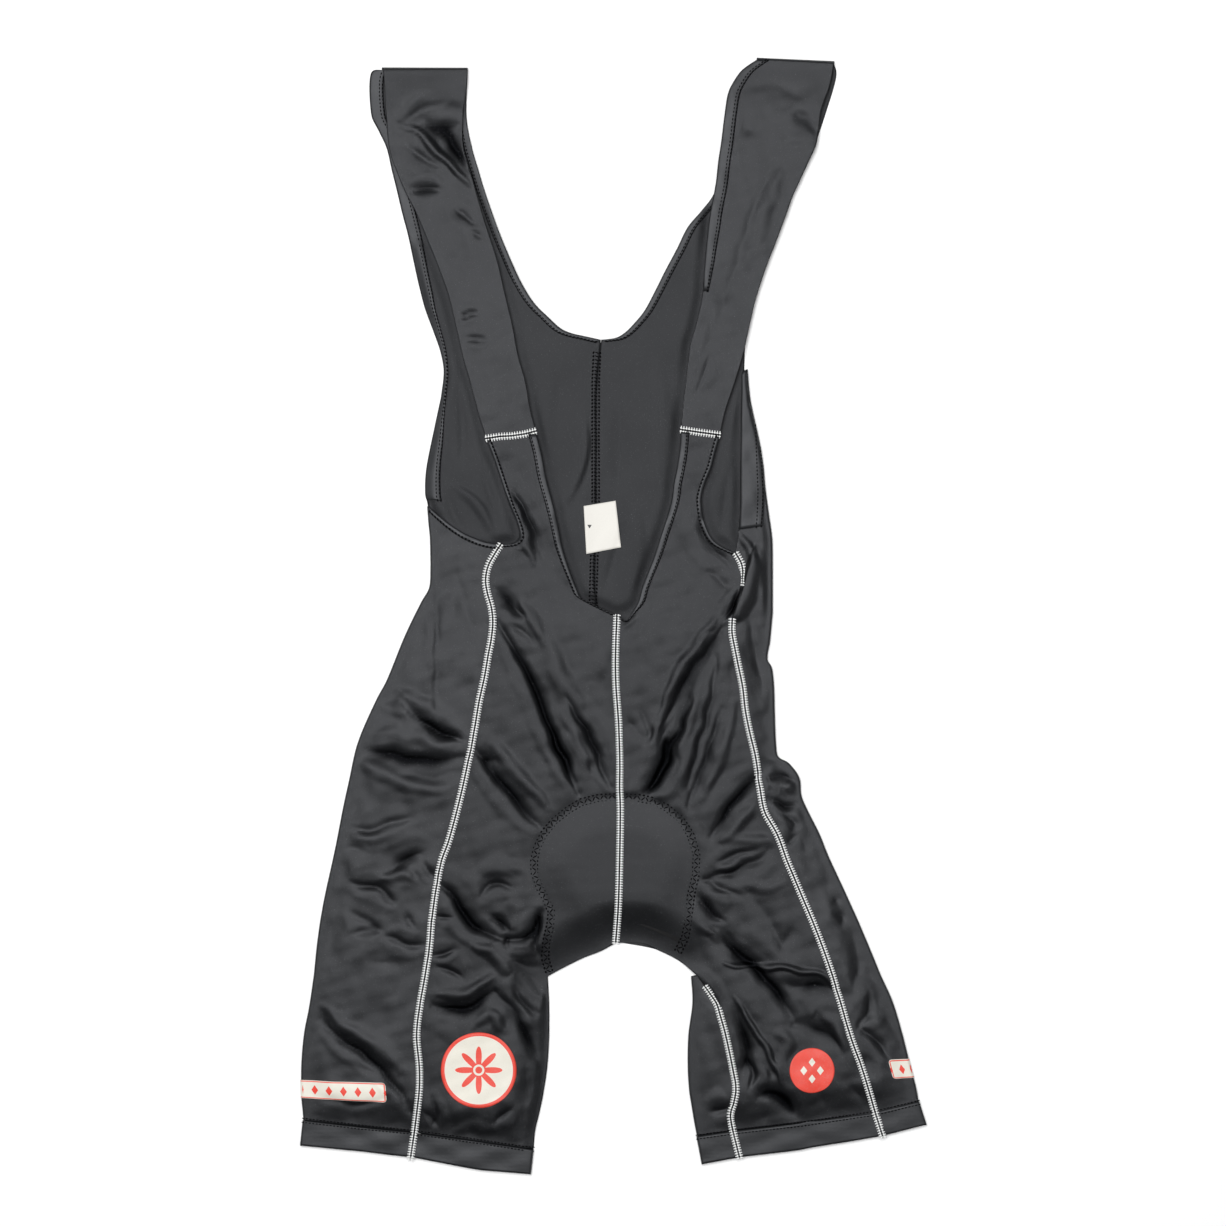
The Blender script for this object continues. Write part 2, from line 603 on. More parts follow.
    ([(108, -361), (119, -357), (131, -367), (137, -377)], 8.5, -5, 0),
    ([(100, -335), (106, -343), (102, -354)], 4, -3, 0),
    ([(74, -373), (88, -370)], 5, -4, 0),
    ([(59, -268), (71, -283), (80, -294)], 4, -2.4, 0),
    ([(156, -299), (169, -308), (174, -329)], 7, 1.8, 0),
    ([(181, -239), (185, -262), (179, -283)], 7, -1.6, 0),
    ([(149, -352), (160, -370), (156, -386)], 7, -1.4, 0),
    ([(179, -352), (188, -368)], 6, -1.6, 0),
    ([(119, -312), (133, -319), (126, -335)], 8, 1.4, 0),
    # Left strap
    ([(-142, 370), (-129, 363), (-119, 353), (-108, 334)], 8, -5, 0),
    ([(-129, 368), (-114, 364)], 5, -2.4, 0),
    ([(-162, 367), (-147, 363), (-136, 351), (-123, 338), (-107, 322)], 4, 3, 0),
    ([(-156, 352), (-142, 342), (-130, 335)], 4, -2, 0),
    ([(-151, 317), (-142, 320), (-131, 316)], 3.6, -3.4, 0),
    ([(-156, 379), (-142, 388)], 5, -1.6, 0),
    ([(-159, 369), (-145, 377), (-127, 382)], 5, 1.4, 0),
    ([(-119, 304), (-104, 293)], 3, -2, 0),
    ([(-115, 221), (-109, 225), (-101, 225)], 2.4, -2.6, 0),
    ([(-111, 206), (-93, 205)], 2.2, -1.9, 0),
    ([(-107, 287), (-100, 283)], 3, -2, 0),
    ([(-128, 304), (-117, 271), (-105, 241)], 11, 1, 0),
    # Right strap
    ([(121, 397), (131, 392), (142, 388)], 7, -1.8, 0),
    ([(135, 375), (146, 369), (153, 360)], 7, -2.6, 0),
    ([(95, 365), (104, 363)], 7, -1.3, 0),
    ([(105, 394), (117, 400)], 6, -1.2, 0),
    ([(117, 329), (105, 304), (98, 283), (94, 262), (84, 241), (79, 220)], 6, -1.4, 0),
    ([(125, 329), (114, 304), (108, 283), (102, 262)], 9, 1.2, 0),
    ([(73, 191), (62, 167)], 3, -1.3, 0),
    ([(70, 220), (64, 195)], 7, 0.8, 0),
]

# Folds of the inside of the back, where it shows between the straps
BACK_FOLDS = [
    ([(-22, 142), (-20, 128), (-24, 109), (-31, 94), (-38, 81)], 5, 1.5, 0.4),
    ([(-17, 150), (-15, 128), (-19, 106), (-27, 90)], 4, -1.6, 0),
    ([(4, 160), (6, 120), (2, 92)], 8, -1.3, 0),
    ([(8, 66), (0, 38), (-6, 18)], 5, -1.6, 0),
    ([(17, 78), (20, 48), (14, 20)], 8, 1.1, 0),
    ([(-46, 190), (-52, 150), (-50, 110)], 11, 1.0, 0),
    ([(34, 190), (38, 150), (34, 100)], 11, 1.0, 0),
    ([(-116, 176), (-112, 140), (-114, 112)], 5, -1.7, 0),
    ([(-90, 60), (-97, 78), (-106, 88), (-118, 96)], 6, 1.6, 0.3),
    ([(-84, 72), (-92, 88), (-98, 110)], 5, -1.6, 0),
    ([(-124, 90), (-120, 74), (-112, 62)], 5, -1.4, 0),
    ([(88, 110), (84, 84), (82, 66)], 5, -1.4, 0),
]

# Seat pad: its stitched outline from the lower left, over the top, to the lower right
PAD_OUTLINE = [
    (-48, -268), (-51, -258), (-50, -245), (-47, -233), (-46, -223), (-50, -214), (-55, -205),
    (-59, -193), (-59, -184), (-57, -175), (-52, -165), (-44, -155), (-34, -147), (-24, -141),
    (-10, -137.5), (5, -137), (18, -137.5), (30, -140), (40, -145), (50, -153), (58, -165),
    (62.5, -180), (62, -195), (58.5, -210), (57, -223), (56, -233), (54, -243), (49, -253),
]
PAD_SOLID = [
    (-46, -246), (-48, -232), (-50, -215), (-57, -200), (-59, -182), (-52, -163), (-36, -148),
    (-14, -139), (5, -137), (25, -139), (44, -147), (57, -161), (63, -181), (61, -200), (56, -218),
    (53, -232), (49, -246), (28, -236), (3, -227), (-22, -236),
]
# The cloth climbs to the pad's edge over a stretch that starts beside it, then to its crown, which
# falls off at the low end, and the stitches draw a groove round its outline
PAD_BESIDE, PAD_CLIMB = 7, 9
PAD_EDGE_LIFT, PAD_LIFT, PAD_SLOPE = 3.9, 2.7, 26
PAD_LOW_END, PAD_LOW_SLOPE = -252, 45
GROOVE_DEPTH, GROOVE_WIDTH = 0.45, 2.6
# The height of the foam's underside in millimetres, then its wall and the width and rise of each
# step up to its crown in metres
PAD_UNDER = 1.4
PAD_WALL = 0.0009
PAD_STEPS = ((0.006, 0.0012), (0.008, 0.0007), (0.01, 0.0004))

# Where the upper layer meets the lower one at the crotch and down the left inner leg
CROTCH_EDGE = [
    (-49, -272), (-40, -267), (-23, -258.5), (-9, -253), (2, -247), (21, -247), (33, -252), (49, -260),
]
LEFT_INSEAM = [
    (-49, -272), (-48, -293), (-48, -318), (-49.5, -341), (-52.5, -361), (-55, -373), (-60, -402),
]

# Prints: middle and radius of each disc, and the ends and reach of each bar
LEFT_ROUND = ((-100.5, -341.5), 28.3)
RIGHT_ROUND = ((149, -341.8), 16.8)
LEFT_BAR = ((-169.5, -366), (-170.5, -351), 66)
RIGHT_BAR = ((210, -348.5), (206, -334), 20)
# The front edge of the left armhole, points beside the garment that close the armhole's outline,
# the line of the black centre back seam and the corners of the label
LEFT_ARMHOLE = [(-98, 47), (-110, 50), (-125, 58), (-139.5, 80)]
BESIDE_LEFT = [(-250, 80), (-250, 280)]
CENTRE_BACK_STITCHES = [(-12, 196), (-13, 175), (-13, 85), (-14, 44), (-15, 12), (-13, -8)]
CARE_LABEL = [(-20, 45), (6, 50), (2, 85), (-22, 81)]


def smooth(t):
    s = np.clip(t, 0, 1)
    return s * s * (3 - 2 * s)


class Rail:
    """A smooth line through the rows of a table and the points between them."""

    def __init__(self, rows, corners=CORNERS):
        names = list(rows)
        places, stations, sharp = [], [], []
        for row, name in enumerate(names):
            points = rows[name]
            chain = points + (rows[names[row + 1]][:1] if row + 1 < len(names) else [])
            run = [0.0]
            for a, b in zip(chain, chain[1:]):
                run.append(run[-1] + math.dist(a, b))
            for k, point in enumerate(points):
                places.append(point)
                stations.append(row + run[k] / max(run[-1], 1e-6))
                sharp.append(k == 0 and name in corners)
        self.names = names
        self.stations = np.array(stations)
        self.places = np.array(places, float)
        spans = np.diff(self.stations)[:, None]
        slopes = np.diff(self.places, axis=0) / spans
        self.out = np.vstack([slopes, slopes[-1:]])
        self.into = np.vstack([slopes[:1], slopes])
        for k in range(1, len(places) - 1):
            if not sharp[k]:
                span = self.stations[k + 1] - self.stations[k - 1]
                self.out[k] = self.into[k] = (self.places[k + 1] - self.places[k - 1]) / span

    def row(self, name):
        return self.names.index(name)

    def at(self, v):
        v = np.clip(np.asarray(v, float), self.stations[0], self.stations[-1])
        k = np.clip(np.searchsorted(self.stations, v, side="right") - 1, 0, len(self.stations) - 2)
        span = (self.stations[k + 1] - self.stations[k])[..., None]
        s = (v - self.stations[k])[..., None] / span
        start, end = self.places[k], self.places[k + 1]
        leave, arrive = self.out[k] * span, self.into[k + 1] * span
        return (
            (2 * s**3 - 3 * s**2 + 1) * start
            + (s**3 - 2 * s**2 + s) * leave
            + (3 * s**2 - 2 * s**3) * end
            + (s**3 - s**2) * arrive
        )


def column(rail, numbers):
    """Numbers that are given at some rows of a rail, between them on straight lines."""
    rows = [rail.row(name) for name in numbers]
    values = list(numbers.values())
    return lambda v: np.interp(v, rows, values)


def rounded(path, rounds=2):
    """The path with its corners cut, so that a fold bends softly."""
    line = np.array(path, float)
    for _ in range(rounds if len(path) > 2 else 0):
        start, end = line[:-1], line[1:]
        cut = np.stack([0.75 * start + 0.25 * end, 0.25 * start + 0.75 * end], axis=1).reshape(-1, 2)
        line = np.vstack([line[:1], cut, line[-1:]])
    return line




def fold_height(fold, points):
    """Height of one fold, which narrows and fades at its ends. A trough has raised shoulders."""
    path, width, height, lean = fold
    width = width * (TROUGH_SPREAD if height < 0 else 1)
    line = rounded(path)
    reach = width * (1 + abs(lean)) * (SHOULDER_REACH if height < 0 else 1)
    near = np.all((points > line.min(axis=0) - reach) & (points < line.max(axis=0) + reach), axis=-1)
    result = np.zeros(points.shape[:-1])
    if not near.any():
        return result
    spots = points[near]
    run = np.concatenate([[0], np.cumsum(np.hypot(*np.diff(line, axis=0).T))])
    best = np.full(len(spots), np.inf)
    share = np.zeros(len(spots))
    signed = np.zeros(len(spots))
    for leg in range(len(line) - 1):
        a, span = line[leg], line[leg + 1] - line[leg]
        t = np.clip((spots - a) @ span / (span @ span), 0, 1)
        away = spots - a - t[:, None] * span
        far = np.hypot(away[:, 0], away[:, 1])
        nearer = far < best
        best = np.where(nearer, far, best)
        share = np.where(nearer, (run[leg] + t * (run[leg + 1] - run[leg])) / run[-1], share)
        signed = np.where(nearer, span[0] * away[:, 1] - span[1] * away[:, 0], signed)
    fade = np.sqrt(np.sin(math.pi * np.clip(share, 0.03, 0.97)))
    widths = width * (0.45 + 0.55 * fade) * (1 + lean * np.sign(signed))
    away = best / widths
    if height > 0:
        core = np.where(away < 1, 0.5 + 0.5 * np.cos(math.pi * away), 0)
    else:
        pinched = 1 - np.sin(math.pi / 2 * np.clip(np.sqrt(away**2 + CORE_SOFTNESS), 0, 1))
        beside = np.clip((away - SHOULDER_START) / (SHOULDER_REACH - SHOULDER_START), 0, 1)
        core = pinched - SHOULDER_SHARE * np.sin(math.pi * beside) ** 2
    result[near] = height * core * fade
    return result


def polyline_distance(points, line, closed=False):
    best = np.full(points.shape[:-1], np.inf)
    chain = list(line) + ([line[0]] if closed else [])
    for a, b in zip(chain, chain[1:]):
        a, b = np.array(a, float), np.array(b, float)
        run = b - a
        t = np.clip((points - a) @ run / max(run @ run, 1e-9), 0, 1)
        away = points - a - t[..., None] * run
        best = np.minimum(best, np.hypot(away[..., 0], away[..., 1]))
    return best


def inside_of(points, outline):
    x, y = points[..., 0], points[..., 1]
    inside = np.zeros(x.shape, bool)
    for a, b in zip(outline, outline[1:] + outline[:1]):
        if a[1] == b[1]:
            continue
        crosses = (a[1] > y) != (b[1] > y)
        inside ^= crosses & (x < (b[0] - a[0]) * (y - a[1]) / (b[1] - a[1]) + a[0])
    return inside


def hem_height(points):
    """Y of the stitched hem line below each point."""
    x = points[..., 0]
    left = np.interp(x, *zip(*LEFT_HEM_LINE))
    line = sorted(RIGHT_HEM_LINE)
    right = np.interp(x, *zip(*line))
    return np.where(x < 0, left, right)


def ripples(points, height, seed, waves, shortest, longest):
    """Low uneven waves from a few crossing ripples."""
    draw = random.Random(seed)
    total = np.zeros(points.shape[:-1])
    x, y = points[..., 0], points[..., 1]
    for _ in range(waves):
        angle = draw.uniform(0, math.pi)
        length = draw.uniform(shortest, longest)
        phase = draw.uniform(0, 2 * math.pi)
        bend = draw.uniform(-0.6, 0.6)
        along = x * math.cos(angle) + y * math.sin(angle)
        aside = y * math.cos(angle) - x * math.sin(angle)
        total += np.sin(2 * math.pi * along / length + phase + bend * np.sin(aside / length))
    return height * (total / math.sqrt(waves))


def pad_depth(points, outline):
    far = polyline_distance(points, outline, closed=True)
    return np.where(inside_of(points, outline), far, -far)


def fold_sum(points, sign):
    """Sum of the ridges or of the troughs, whose lines wander a little."""
    wander = [ripples(points, FOLD_WANDER, seed, 9, 16, 60) for seed in WANDER_SEEDS]
    bent = points + np.stack(wander, axis=-1)
    return sum(fold_height(fold, bent) for fold in FOLDS if fold[2] * sign > 0)


def crease_share(points):
    """How far each point lies down in a sharp crease, from 0 to 1."""
    return smooth((-fold_sum(points, -1) - CREASE_START) / CREASE_RANGE)


def relief(points, edge=math.inf):
    """Rise of the upper layer over its resting level: folds, then the pad that pushes it up."""
    hem = points[..., 1] - hem_height(points)
    puff = CHEST_PUFF + LEG_PUFF * smooth((LEGS_FROM - points[..., 1]) / LEGS_OVER)
    puff = puff + STRAP_PUFF * smooth((points[..., 1] - STRAPS_FROM) / STRAPS_OVER)
    inseam = polyline_distance(points, LEFT_INSEAM)
    puff = puff * smooth(hem / PUFF_REACH) * smooth(edge / PUFF_REACH) * smooth(inseam / PUFF_REACH)
    room = SINK_LIMIT + puff
    total = fold_sum(points, 1) + fold_sum(points, -1) * np.minimum(room / DEEPEST, 1)
    total = total + ripples(points, *LONG_WAVES) + ripples(points, *SHORT_WAVES)
    limit = np.where(total > 0, RISE_LIMIT, SINK_SHARE * room)
    folds = np.maximum(limit * np.tanh(total / limit), -room)
    folds = puff + folds * smooth(hem / FOLD_REACH) * smooth(edge / FOLD_REACH)
    depth = pad_depth(points, PAD_OUTLINE)
    over = smooth((depth + PAD_BESIDE) / PAD_CLIMB)
    low_end = smooth((points[..., 1] - PAD_LOW_END) / PAD_LOW_SLOPE)
    dome = PAD_EDGE_LIFT + PAD_LIFT * smooth(depth / PAD_SLOPE) * low_end
    groove = GROOVE_DEPTH * np.exp(-((depth / GROOVE_WIDTH) ** 2))
    return folds * (1 - over) + dome * over - groove


def top_height(points, edge=math.inf):
    """Height of the upper layer, which comes down to the crotch seam and the left inner leg."""
    level = FRONT_LEVEL + relief(points, edge)
    crotch = smooth(1 - polyline_distance(points, CROTCH_EDGE) / CROTCH_REACH)
    inseam = smooth(1 - polyline_distance(points, LEFT_INSEAM) / INSEAM_REACH)
    drop = np.maximum(crotch, inseam) * smooth(edge / FOLD_REACH)
    return level + (SEALED_LEVEL - level) * drop


def front_sheet(seam, middle):
    def place(u, v):
        a, b = seam.at(v), middle.at(v)
        flat = a + (b - a) * u[..., None]
        x, y = np.moveaxis((flat - NECK_DIP_AT) / NECK_DIP_OVER, -1, 0)
        flat[..., 1] -= NECK_DIP * np.exp(-(x**2) - y**2)
        return np.dstack([flat, top_height(flat)])

    return place


def folded(u, start, fold, under, dip):
    """A section that runs out over the top, round a fold and back below it."""
    width = np.hypot(*np.moveaxis(fold - start, -1, 0))
    out = (fold - start) / width[..., None]
    turn_start = fold - out * (TURN_RADIUS + CLOTH / 2)
    t = np.clip(u / TOP_SHARE, 0, 1)
    flat = start + (turn_start - start) * t[..., None]
    flat[..., 1] -= dip * 4 * t * (1 - t)
    turn = np.clip((u - TOP_SHARE) / TURN_SHARE, 0, 1) * math.pi
    back = np.clip((u - TOP_SHARE - TURN_SHARE) / (1 - TOP_SHARE - TURN_SHARE), 0, 1)
    run = back * np.maximum(under - TURN_RADIUS - CLOTH / 2, SHORTEST_RUN)
    reach = TURN_RADIUS * np.sin(turn) - run
    flat = flat + out * reach[..., None]
    over = top_height(flat, (1 - t) * width)
    level = np.where(u <= TOP_SHARE, over, BACK_LEVEL + TURN_RADIUS * (1 + np.cos(turn)))
    return np.dstack([flat, level])


def side_sheet(seam, fold, under, dip):
    return lambda u, v: folded(u, seam.at(v), fold.at(v), under(v), dip(v))


def openings():
    """Where the inside of the back shows: the lines that lie on it, each with its outline."""

    def chain(table, first, last):
        names = list(table)
        return [spot for name in names[names.index(first) : names.index(last) + 1] for spot in table[name]]

    rows = list(LEFT_OUTER)
    top = rows[rows.index("shoulder") - 1]
    neck, other = (
        chain(inner, "front seam", top)[::-1] + chain(middle, "strap seam", "neck point")
        for inner, middle in ((LEFT_INNER, LEFT_MIDDLE), (RIGHT_INNER, RIGHT_MIDDLE))
    )
    neck += other[::-1]
    arm_left = chain(LEFT_OUTER, "front seam", "front high")[::-1]
    arm_left += chain(LEFT_SEAM, "strap seam", "armhole") + LEFT_ARMHOLE
    arm_right = chain(RIGHT_OUTER, "front seam", "front low")[::-1]
    arm_right += chain(RIGHT_SEAM, "strap seam", "armhole")
    arm_right += chain(FLAP_SEAM, "scoop point", "armpit")[::-1]
    return (neck, neck), (arm_left, arm_left + BESIDE_LEFT), (arm_right, arm_right)


def back_relief(points):
    total = sum(fold_height(fold, points) for fold in BACK_FOLDS)
    total = total + ripples(points, *BACK_WAVES) + BACK_PUFF
    free = 0
    for line, shape in openings():
        free = free + smooth(polyline_distance(points, line) / OPENING_REACH) * inside_of(points, shape)
    return np.clip(total, BACK_SINK, BACK_RISE) * free


def back_sheet(outer, inner):
    fold = outer.row("shoulder")
    last = len(outer.names) - 1

    def place(u, v):
        front = v < fold
        flat_v = np.where(front, np.minimum(v, fold - SHOULDER_TURN), np.maximum(v, fold + SHOULDER_TURN))
        a, b = outer.at(flat_v), inner.at(flat_v)
        flat = a + (b - a) * u[..., None]
        turn = np.clip((v - fold + SHOULDER_TURN) / (2 * SHOULDER_TURN), 0, 1) * math.pi
        flat[..., 1] += TURN_RADIUS * np.sin(turn)
        hem_share = smooth((v - last) * 2 + 1)
        flat[..., 1] = flat[..., 1] * (1 - hem_share) + hem_height(flat) * hem_share
        calm = smooth((np.abs(v - fold) - SHOULDER_TURN) / SHOULDER_CALM)
        edge = smooth(u * np.hypot(*np.moveaxis(b - a, -1, 0)) / BACK_EDGE_REACH)
        level = BACK_LEVEL + TURN_RADIUS * (1 + np.cos(turn))
        level = level + np.where(front, relief(flat), back_relief(flat) * edge) * calm
        return np.dstack([flat, level])

    return place


def hem_sheet(line, edge):
    """The leg hem as a flat tube: u runs once round from the outer fold and v down."""
    line, edge = np.array(line, float), np.array(edge, float)
    spans = len(line) - 1

    def place(u, v):
        below = u >= 0.5
        within = np.where(below, u - 0.5, u)
        walked = np.clip(within / HEM_FLAT_SHARE, 0, 1)
        s = np.where(below, 1 - walked, walked) * spans
        row = np.clip(s.astype(int), 0, spans - 1)
        rest = (s - row)[..., None]
        top = line[row] * (1 - rest) + line[row + 1] * rest
        low = edge[row] * (1 - rest) + edge[row + 1] * rest
        flat = top + (low - top) * v[..., None]
        turn = np.clip((within - HEM_FLAT_SHARE) / HEM_TURN_SHARE, 0, 1) * math.pi
        middle = (line[0] + line[-1]) / 2
        pull = (flat - middle) / np.hypot(*np.moveaxis(flat - middle, -1, 0))[..., None]
        flat = flat + pull * ((np.sin(turn) - 1) * TURN_RADIUS)[..., None]
        lift = np.where(below, -np.cos(turn), np.cos(turn))
        wave = ripples(flat, *HEM_WAVES) * np.sin(math.pi * np.clip(v, 0, 1)) * (lift > 0.9)
        return np.dstack([flat, BACK_LEVEL + TURN_RADIUS * (1 + lift) + wave])

    return place


def stations(rails, first, last, step):
    """Rows of a grid about a step apart between two rows of a panel's rails."""
    fine = np.linspace(first, last, int((last - first) * 24) + 1)
    run = np.zeros(len(fine) - 1)
    for rail in rails:
        points = rail.at(fine)
        run = np.maximum(run, np.hypot(*np.diff(points, axis=0).T))
    length = np.concatenate([[0], np.cumsum(run)])
    count = max(int(math.ceil(length[-1] / step)), 2)
    return np.interp(np.linspace(0, length[-1], count + 1), length, fine)


def across(width, step):
    return np.linspace(0, 1, max(int(math.ceil(width / step)), 3) + 1)


def new_piece(name, mesh):
    mesh.polygons.foreach_set("use_smooth", [True] * len(mesh.polygons))
    piece = bpy.data.objects.new(name, mesh)
    bpy.context.scene.collection.objects.link(piece)
    return piece


def finished(name, bm):
    """A piece from a bmesh, which is freed."""
    mesh = bpy.data.meshes.new(name)
    bm.to_mesh(mesh)
    bm.free()
    return new_piece(name, mesh)


def sheet_mesh(name, place, us, vs, ring=False, inner_from=None, marked=False, creased=False):
    """A grid of cloth moved onto its place, with its outer side up where it starts."""
    bm = bmesh.new()
    bmesh.ops.create_grid(bm, x_segments=len(us) - 1, y_segments=len(vs) - 1, size=1)
    if inner_from is not None:
        row = np.searchsorted(vs, inner_from)
        for face in bm.faces:
            face.material_index = int((face.calc_center_median().y + 1) / 2 * (len(vs) - 1) > row)
    if marked:
        spread = bm.loops.layers.uv.new("spread")
        for face in bm.faces:
            for loop in face.loops:
                i = round((loop.vert.co.x + 1) / 2 * (len(us) - 1))
                j = round((loop.vert.co.y + 1) / 2 * (len(vs) - 1))
                loop[spread].uv = (us[i], vs[j])
    points = place(*np.meshgrid(us, vs))
    shade = crease_share(points[..., :2]) if creased else None
    crease = bm.verts.layers.float.new("crease") if creased else None
    for vert in bm.verts:
        i = round((vert.co.x + 1) / 2 * (len(us) - 1))
        j = round((vert.co.y + 1) / 2 * (len(vs) - 1))
        vert.co = points[j, i] * MM
        if creased and (inner_from is None or j < row):
            vert[crease] = shade[j, i]
    if ring:
        bmesh.ops.remove_doubles(bm, verts=bm.verts, dist=1e-6)
    bm.faces.ensure_lookup_table()
    bm.normal_update()
    if bm.faces[len(us) // 3].normal.z < 0:
        bmesh.ops.reverse_faces(bm, faces=bm.faces)
    return finished(name, bm)


def thicken(piece, thickness):
    """Gives a sheet its thickness, half to each side."""
    wall = piece.modifiers.new("thickness", "SOLIDIFY")
    wall.thickness = thickness * MM
    wall.offset = 0
    return piece


def dress(piece, material):
    piece.data.materials.append(material)
    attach(piece, BODY)
    return piece


class Field:
    """A shader value that can be written in an expression."""

    def __init__(self, tree, socket):
        self.tree = tree
        self.socket = socket

    def feed(self, target, value):
        if isinstance(value, Field):
            self.tree.links.new(value.socket, target)
        else:
            target.default_value = value

    def math(self, operation, *values):
        node = self.tree.nodes.new("ShaderNodeMath")
        node.operation = operation
        for target, value in zip(node.inputs, values):
            self.feed(target, value)
        return Field(self.tree, node.outputs[0])

    def __add__(self, other):
        return self.math("ADD", self, other)

    def __sub__(self, other):
        return self.math("SUBTRACT", self, other)

    def __rsub__(self, other):
        return self.math("SUBTRACT", other, self)

    def __mul__(self, other):
        return self.math("MULTIPLY", self, other)

    def __truediv__(self, other):
        return self.math("DIVIDE", self, other)

    __radd__ = __add__
    __rmul__ = __mul__

    def __lt__(self, other):
        return self.math("LESS_THAN", self, other)

    def __gt__(self, other):
        return self.math("GREATER_THAN", self, other)

    def __abs__(self):
        return self.math("ABSOLUTE", self)

    def smaller(self, other):
        return self.math("MINIMUM", self, other)

    def larger(self, other):
        return self.math("MAXIMUM", self, other)


class Finish:
    """A material whose nodes are made one call at a time."""

    def __init__(self, name, roughness, **constants):
        self.material = bpy.data.materials.new(name)
        self.material.use_nodes = True
        self.tree = self.material.node_tree
        self.shader = self.tree.nodes["Principled BSDF"]
        self.shader.inputs["Roughness"].default_value = roughness
        for socket, value in constants.items():
            self.shader.inputs[socket.replace("_", " ")].default_value = value

    def node(self, kind, settings=None, inputs=None, output=0):
        node = self.tree.nodes.new(kind)
        for setting, value in (settings or {}).items():
            setattr(node, setting, value)
        for socket, value in (inputs or {}).items():
            if isinstance(value, Field):
                self.tree.links.new(value.socket, node.inputs[socket])
            else:
                node.inputs[socket].default_value = value
        return Field(self.tree, node.outputs[output])

    def place(self, **mapping):
        spot = self.node("ShaderNodeTexCoord", output="Object")
        if not mapping:
            return spot
        return self.node("ShaderNodeMapping", inputs={"Vector": spot, **mapping})

    def split(self, vector):
        x = self.node("ShaderNodeSeparateXYZ", inputs={0: vector})
        return x, Field(self.tree, x.socket.node.outputs[1])

    def noise(self, scale, detail=2.0, place=None):
        return self.node(
            "ShaderNodeTexNoise",
            inputs={"Vector": place or self.place(), "Scale": scale, "Detail": detail},
        )

    def blend(self, share, low, high):
        node = self.tree.nodes.new("ShaderNodeMix")
        node.data_type = "RGBA"
        for socket, value in ((node.inputs[0], share), (node.inputs[6], low), (node.inputs[7], high)):
            if isinstance(value, Field):
                self.tree.links.new(value.socket, socket)
            else:
                socket.default_value = value
        return Field(self.tree, node.outputs[2])

    def use(self, socket, field):
        self.tree.links.new(field.socket, self.shader.inputs[socket])

    def bump(self, height, distance, strength=1.0):
        bumped = self.node(
            "ShaderNodeBump", inputs={"Height": height, "Distance": distance, "Strength": strength}
        )
        self.use("Normal", bumped)


def colour(rgb, share=1.0):
    return tuple(c * share for c in rgb) + (1.0,)


def knit(finish, width):
    """Height of a fine knit: ribs along the cloth with a small stitch across them."""
    bands = []
    for direction, scale, wander in (("X", 0.5, (1.2, 2.0, 2.0)), ("Y", 0.35, (1.6, 1.0, 3.0))):
        sockets = dict(zip(("Distortion", "Detail", "Detail Scale"), wander))
        sockets.update({"Vector": finish.place(), "Scale": scale / width})
        settings = {"wave_type": "BANDS", "bands_direction": direction}
        bands.append(finish.node("ShaderNodeTexWave", settings, sockets, output=1))
    ribs, loops = bands
    return ribs * 0.6 + loops * 0.4


def satin_finish(name, rgb, roughness, gloss=0.4):
    finish = Finish(name, roughness, Specular_IOR_Level=gloss, Specular_Tint=(0.93, 0.95, 1.0, 1.0))
    cloudy = finish.noise(22, 4.0)
    speck = finish.noise(1400, 2.0) > 0.69
    base = finish.blend(cloudy, colour(rgb, 0.75), colour(rgb, 1.3))
    finish.use("Base Color", finish.blend(speck * 0.5, base, colour((0.09, 0.092, 0.096))))
    finish.use("Roughness", cloudy * 0.12 + (roughness - 0.06))
    finish.use("Metallic", finish.node("ShaderNodeAttribute", {"attribute_name": "crease"}, output="Fac"))
    finish.bump(knit(finish, 0.0009) + finish.noise(60, 3.0) * 1.6, 0.0002, 0.5)
    return finish.material


def hem_finish(name, rgb, roughness):
    finish = Finish(name, roughness, Specular_IOR_Level=0.44, Specular_Tint=(0.93, 0.95, 1.0, 1.0))
    cloudy = finish.noise(60, 4.0)
    finish.use("Base Color", finish.blend(cloudy, colour(rgb, 0.7), colour(rgb, 1.35)))
    finish.use("Roughness", cloudy * 0.15 + (roughness - 0.07))
    finish.bump(knit(finish, 0.0011) * 0.3 + finish.noise(120, 3.0) * 1.4, 0.0003, 0.6)
    return finish.material


def thread_finish(name, rgb, roughness, gloss=0.5):
    finish = Finish(name, roughness, Specular_IOR_Level=gloss)
    fibres = finish.noise(900, 3.0)
    finish.use("Base Color", finish.blend(fibres, colour(rgb, 0.86), colour(rgb, 1.0)))
    finish.use("Roughness", fibres * 0.2 + (roughness - 0.1))
    finish.bump(fibres, 0.0002, 0.5)
    return finish.material


def pad_finish(name, rgb):
    finish = Finish(name, 0.9)
    pile = finish.noise(500, 4.0)
    finish.use("Base Color", finish.blend(pile, colour(rgb, 0.6), colour(rgb, 1.3)))
    finish.use("Roughness", pile * 0.1 + 0.85)
    finish.bump(pile, 0.0006, 0.7)
    return finish.material


def label_finish(name, rgb):
    finish = Finish(name, 0.6)
    weave = finish.noise(700, 2.0)
    mark, up = finish.split(finish.place(Location=(0.0176, -0.0656, 0.0)))
    triangle = (abs(mark) - up * 0.6 < 0.0009) * (up < 0.0013)
    plain = finish.blend(weave, colour(rgb, 0.94), colour(rgb, 1.0))
    finish.use("Base Color", finish.blend(triangle, plain, colour((0.05, 0.05, 0.05))))
    finish.use("Roughness", weave * 0.15 + 0.5)
    finish.bump(weave, 0.0001, 0.4)
    return finish.material


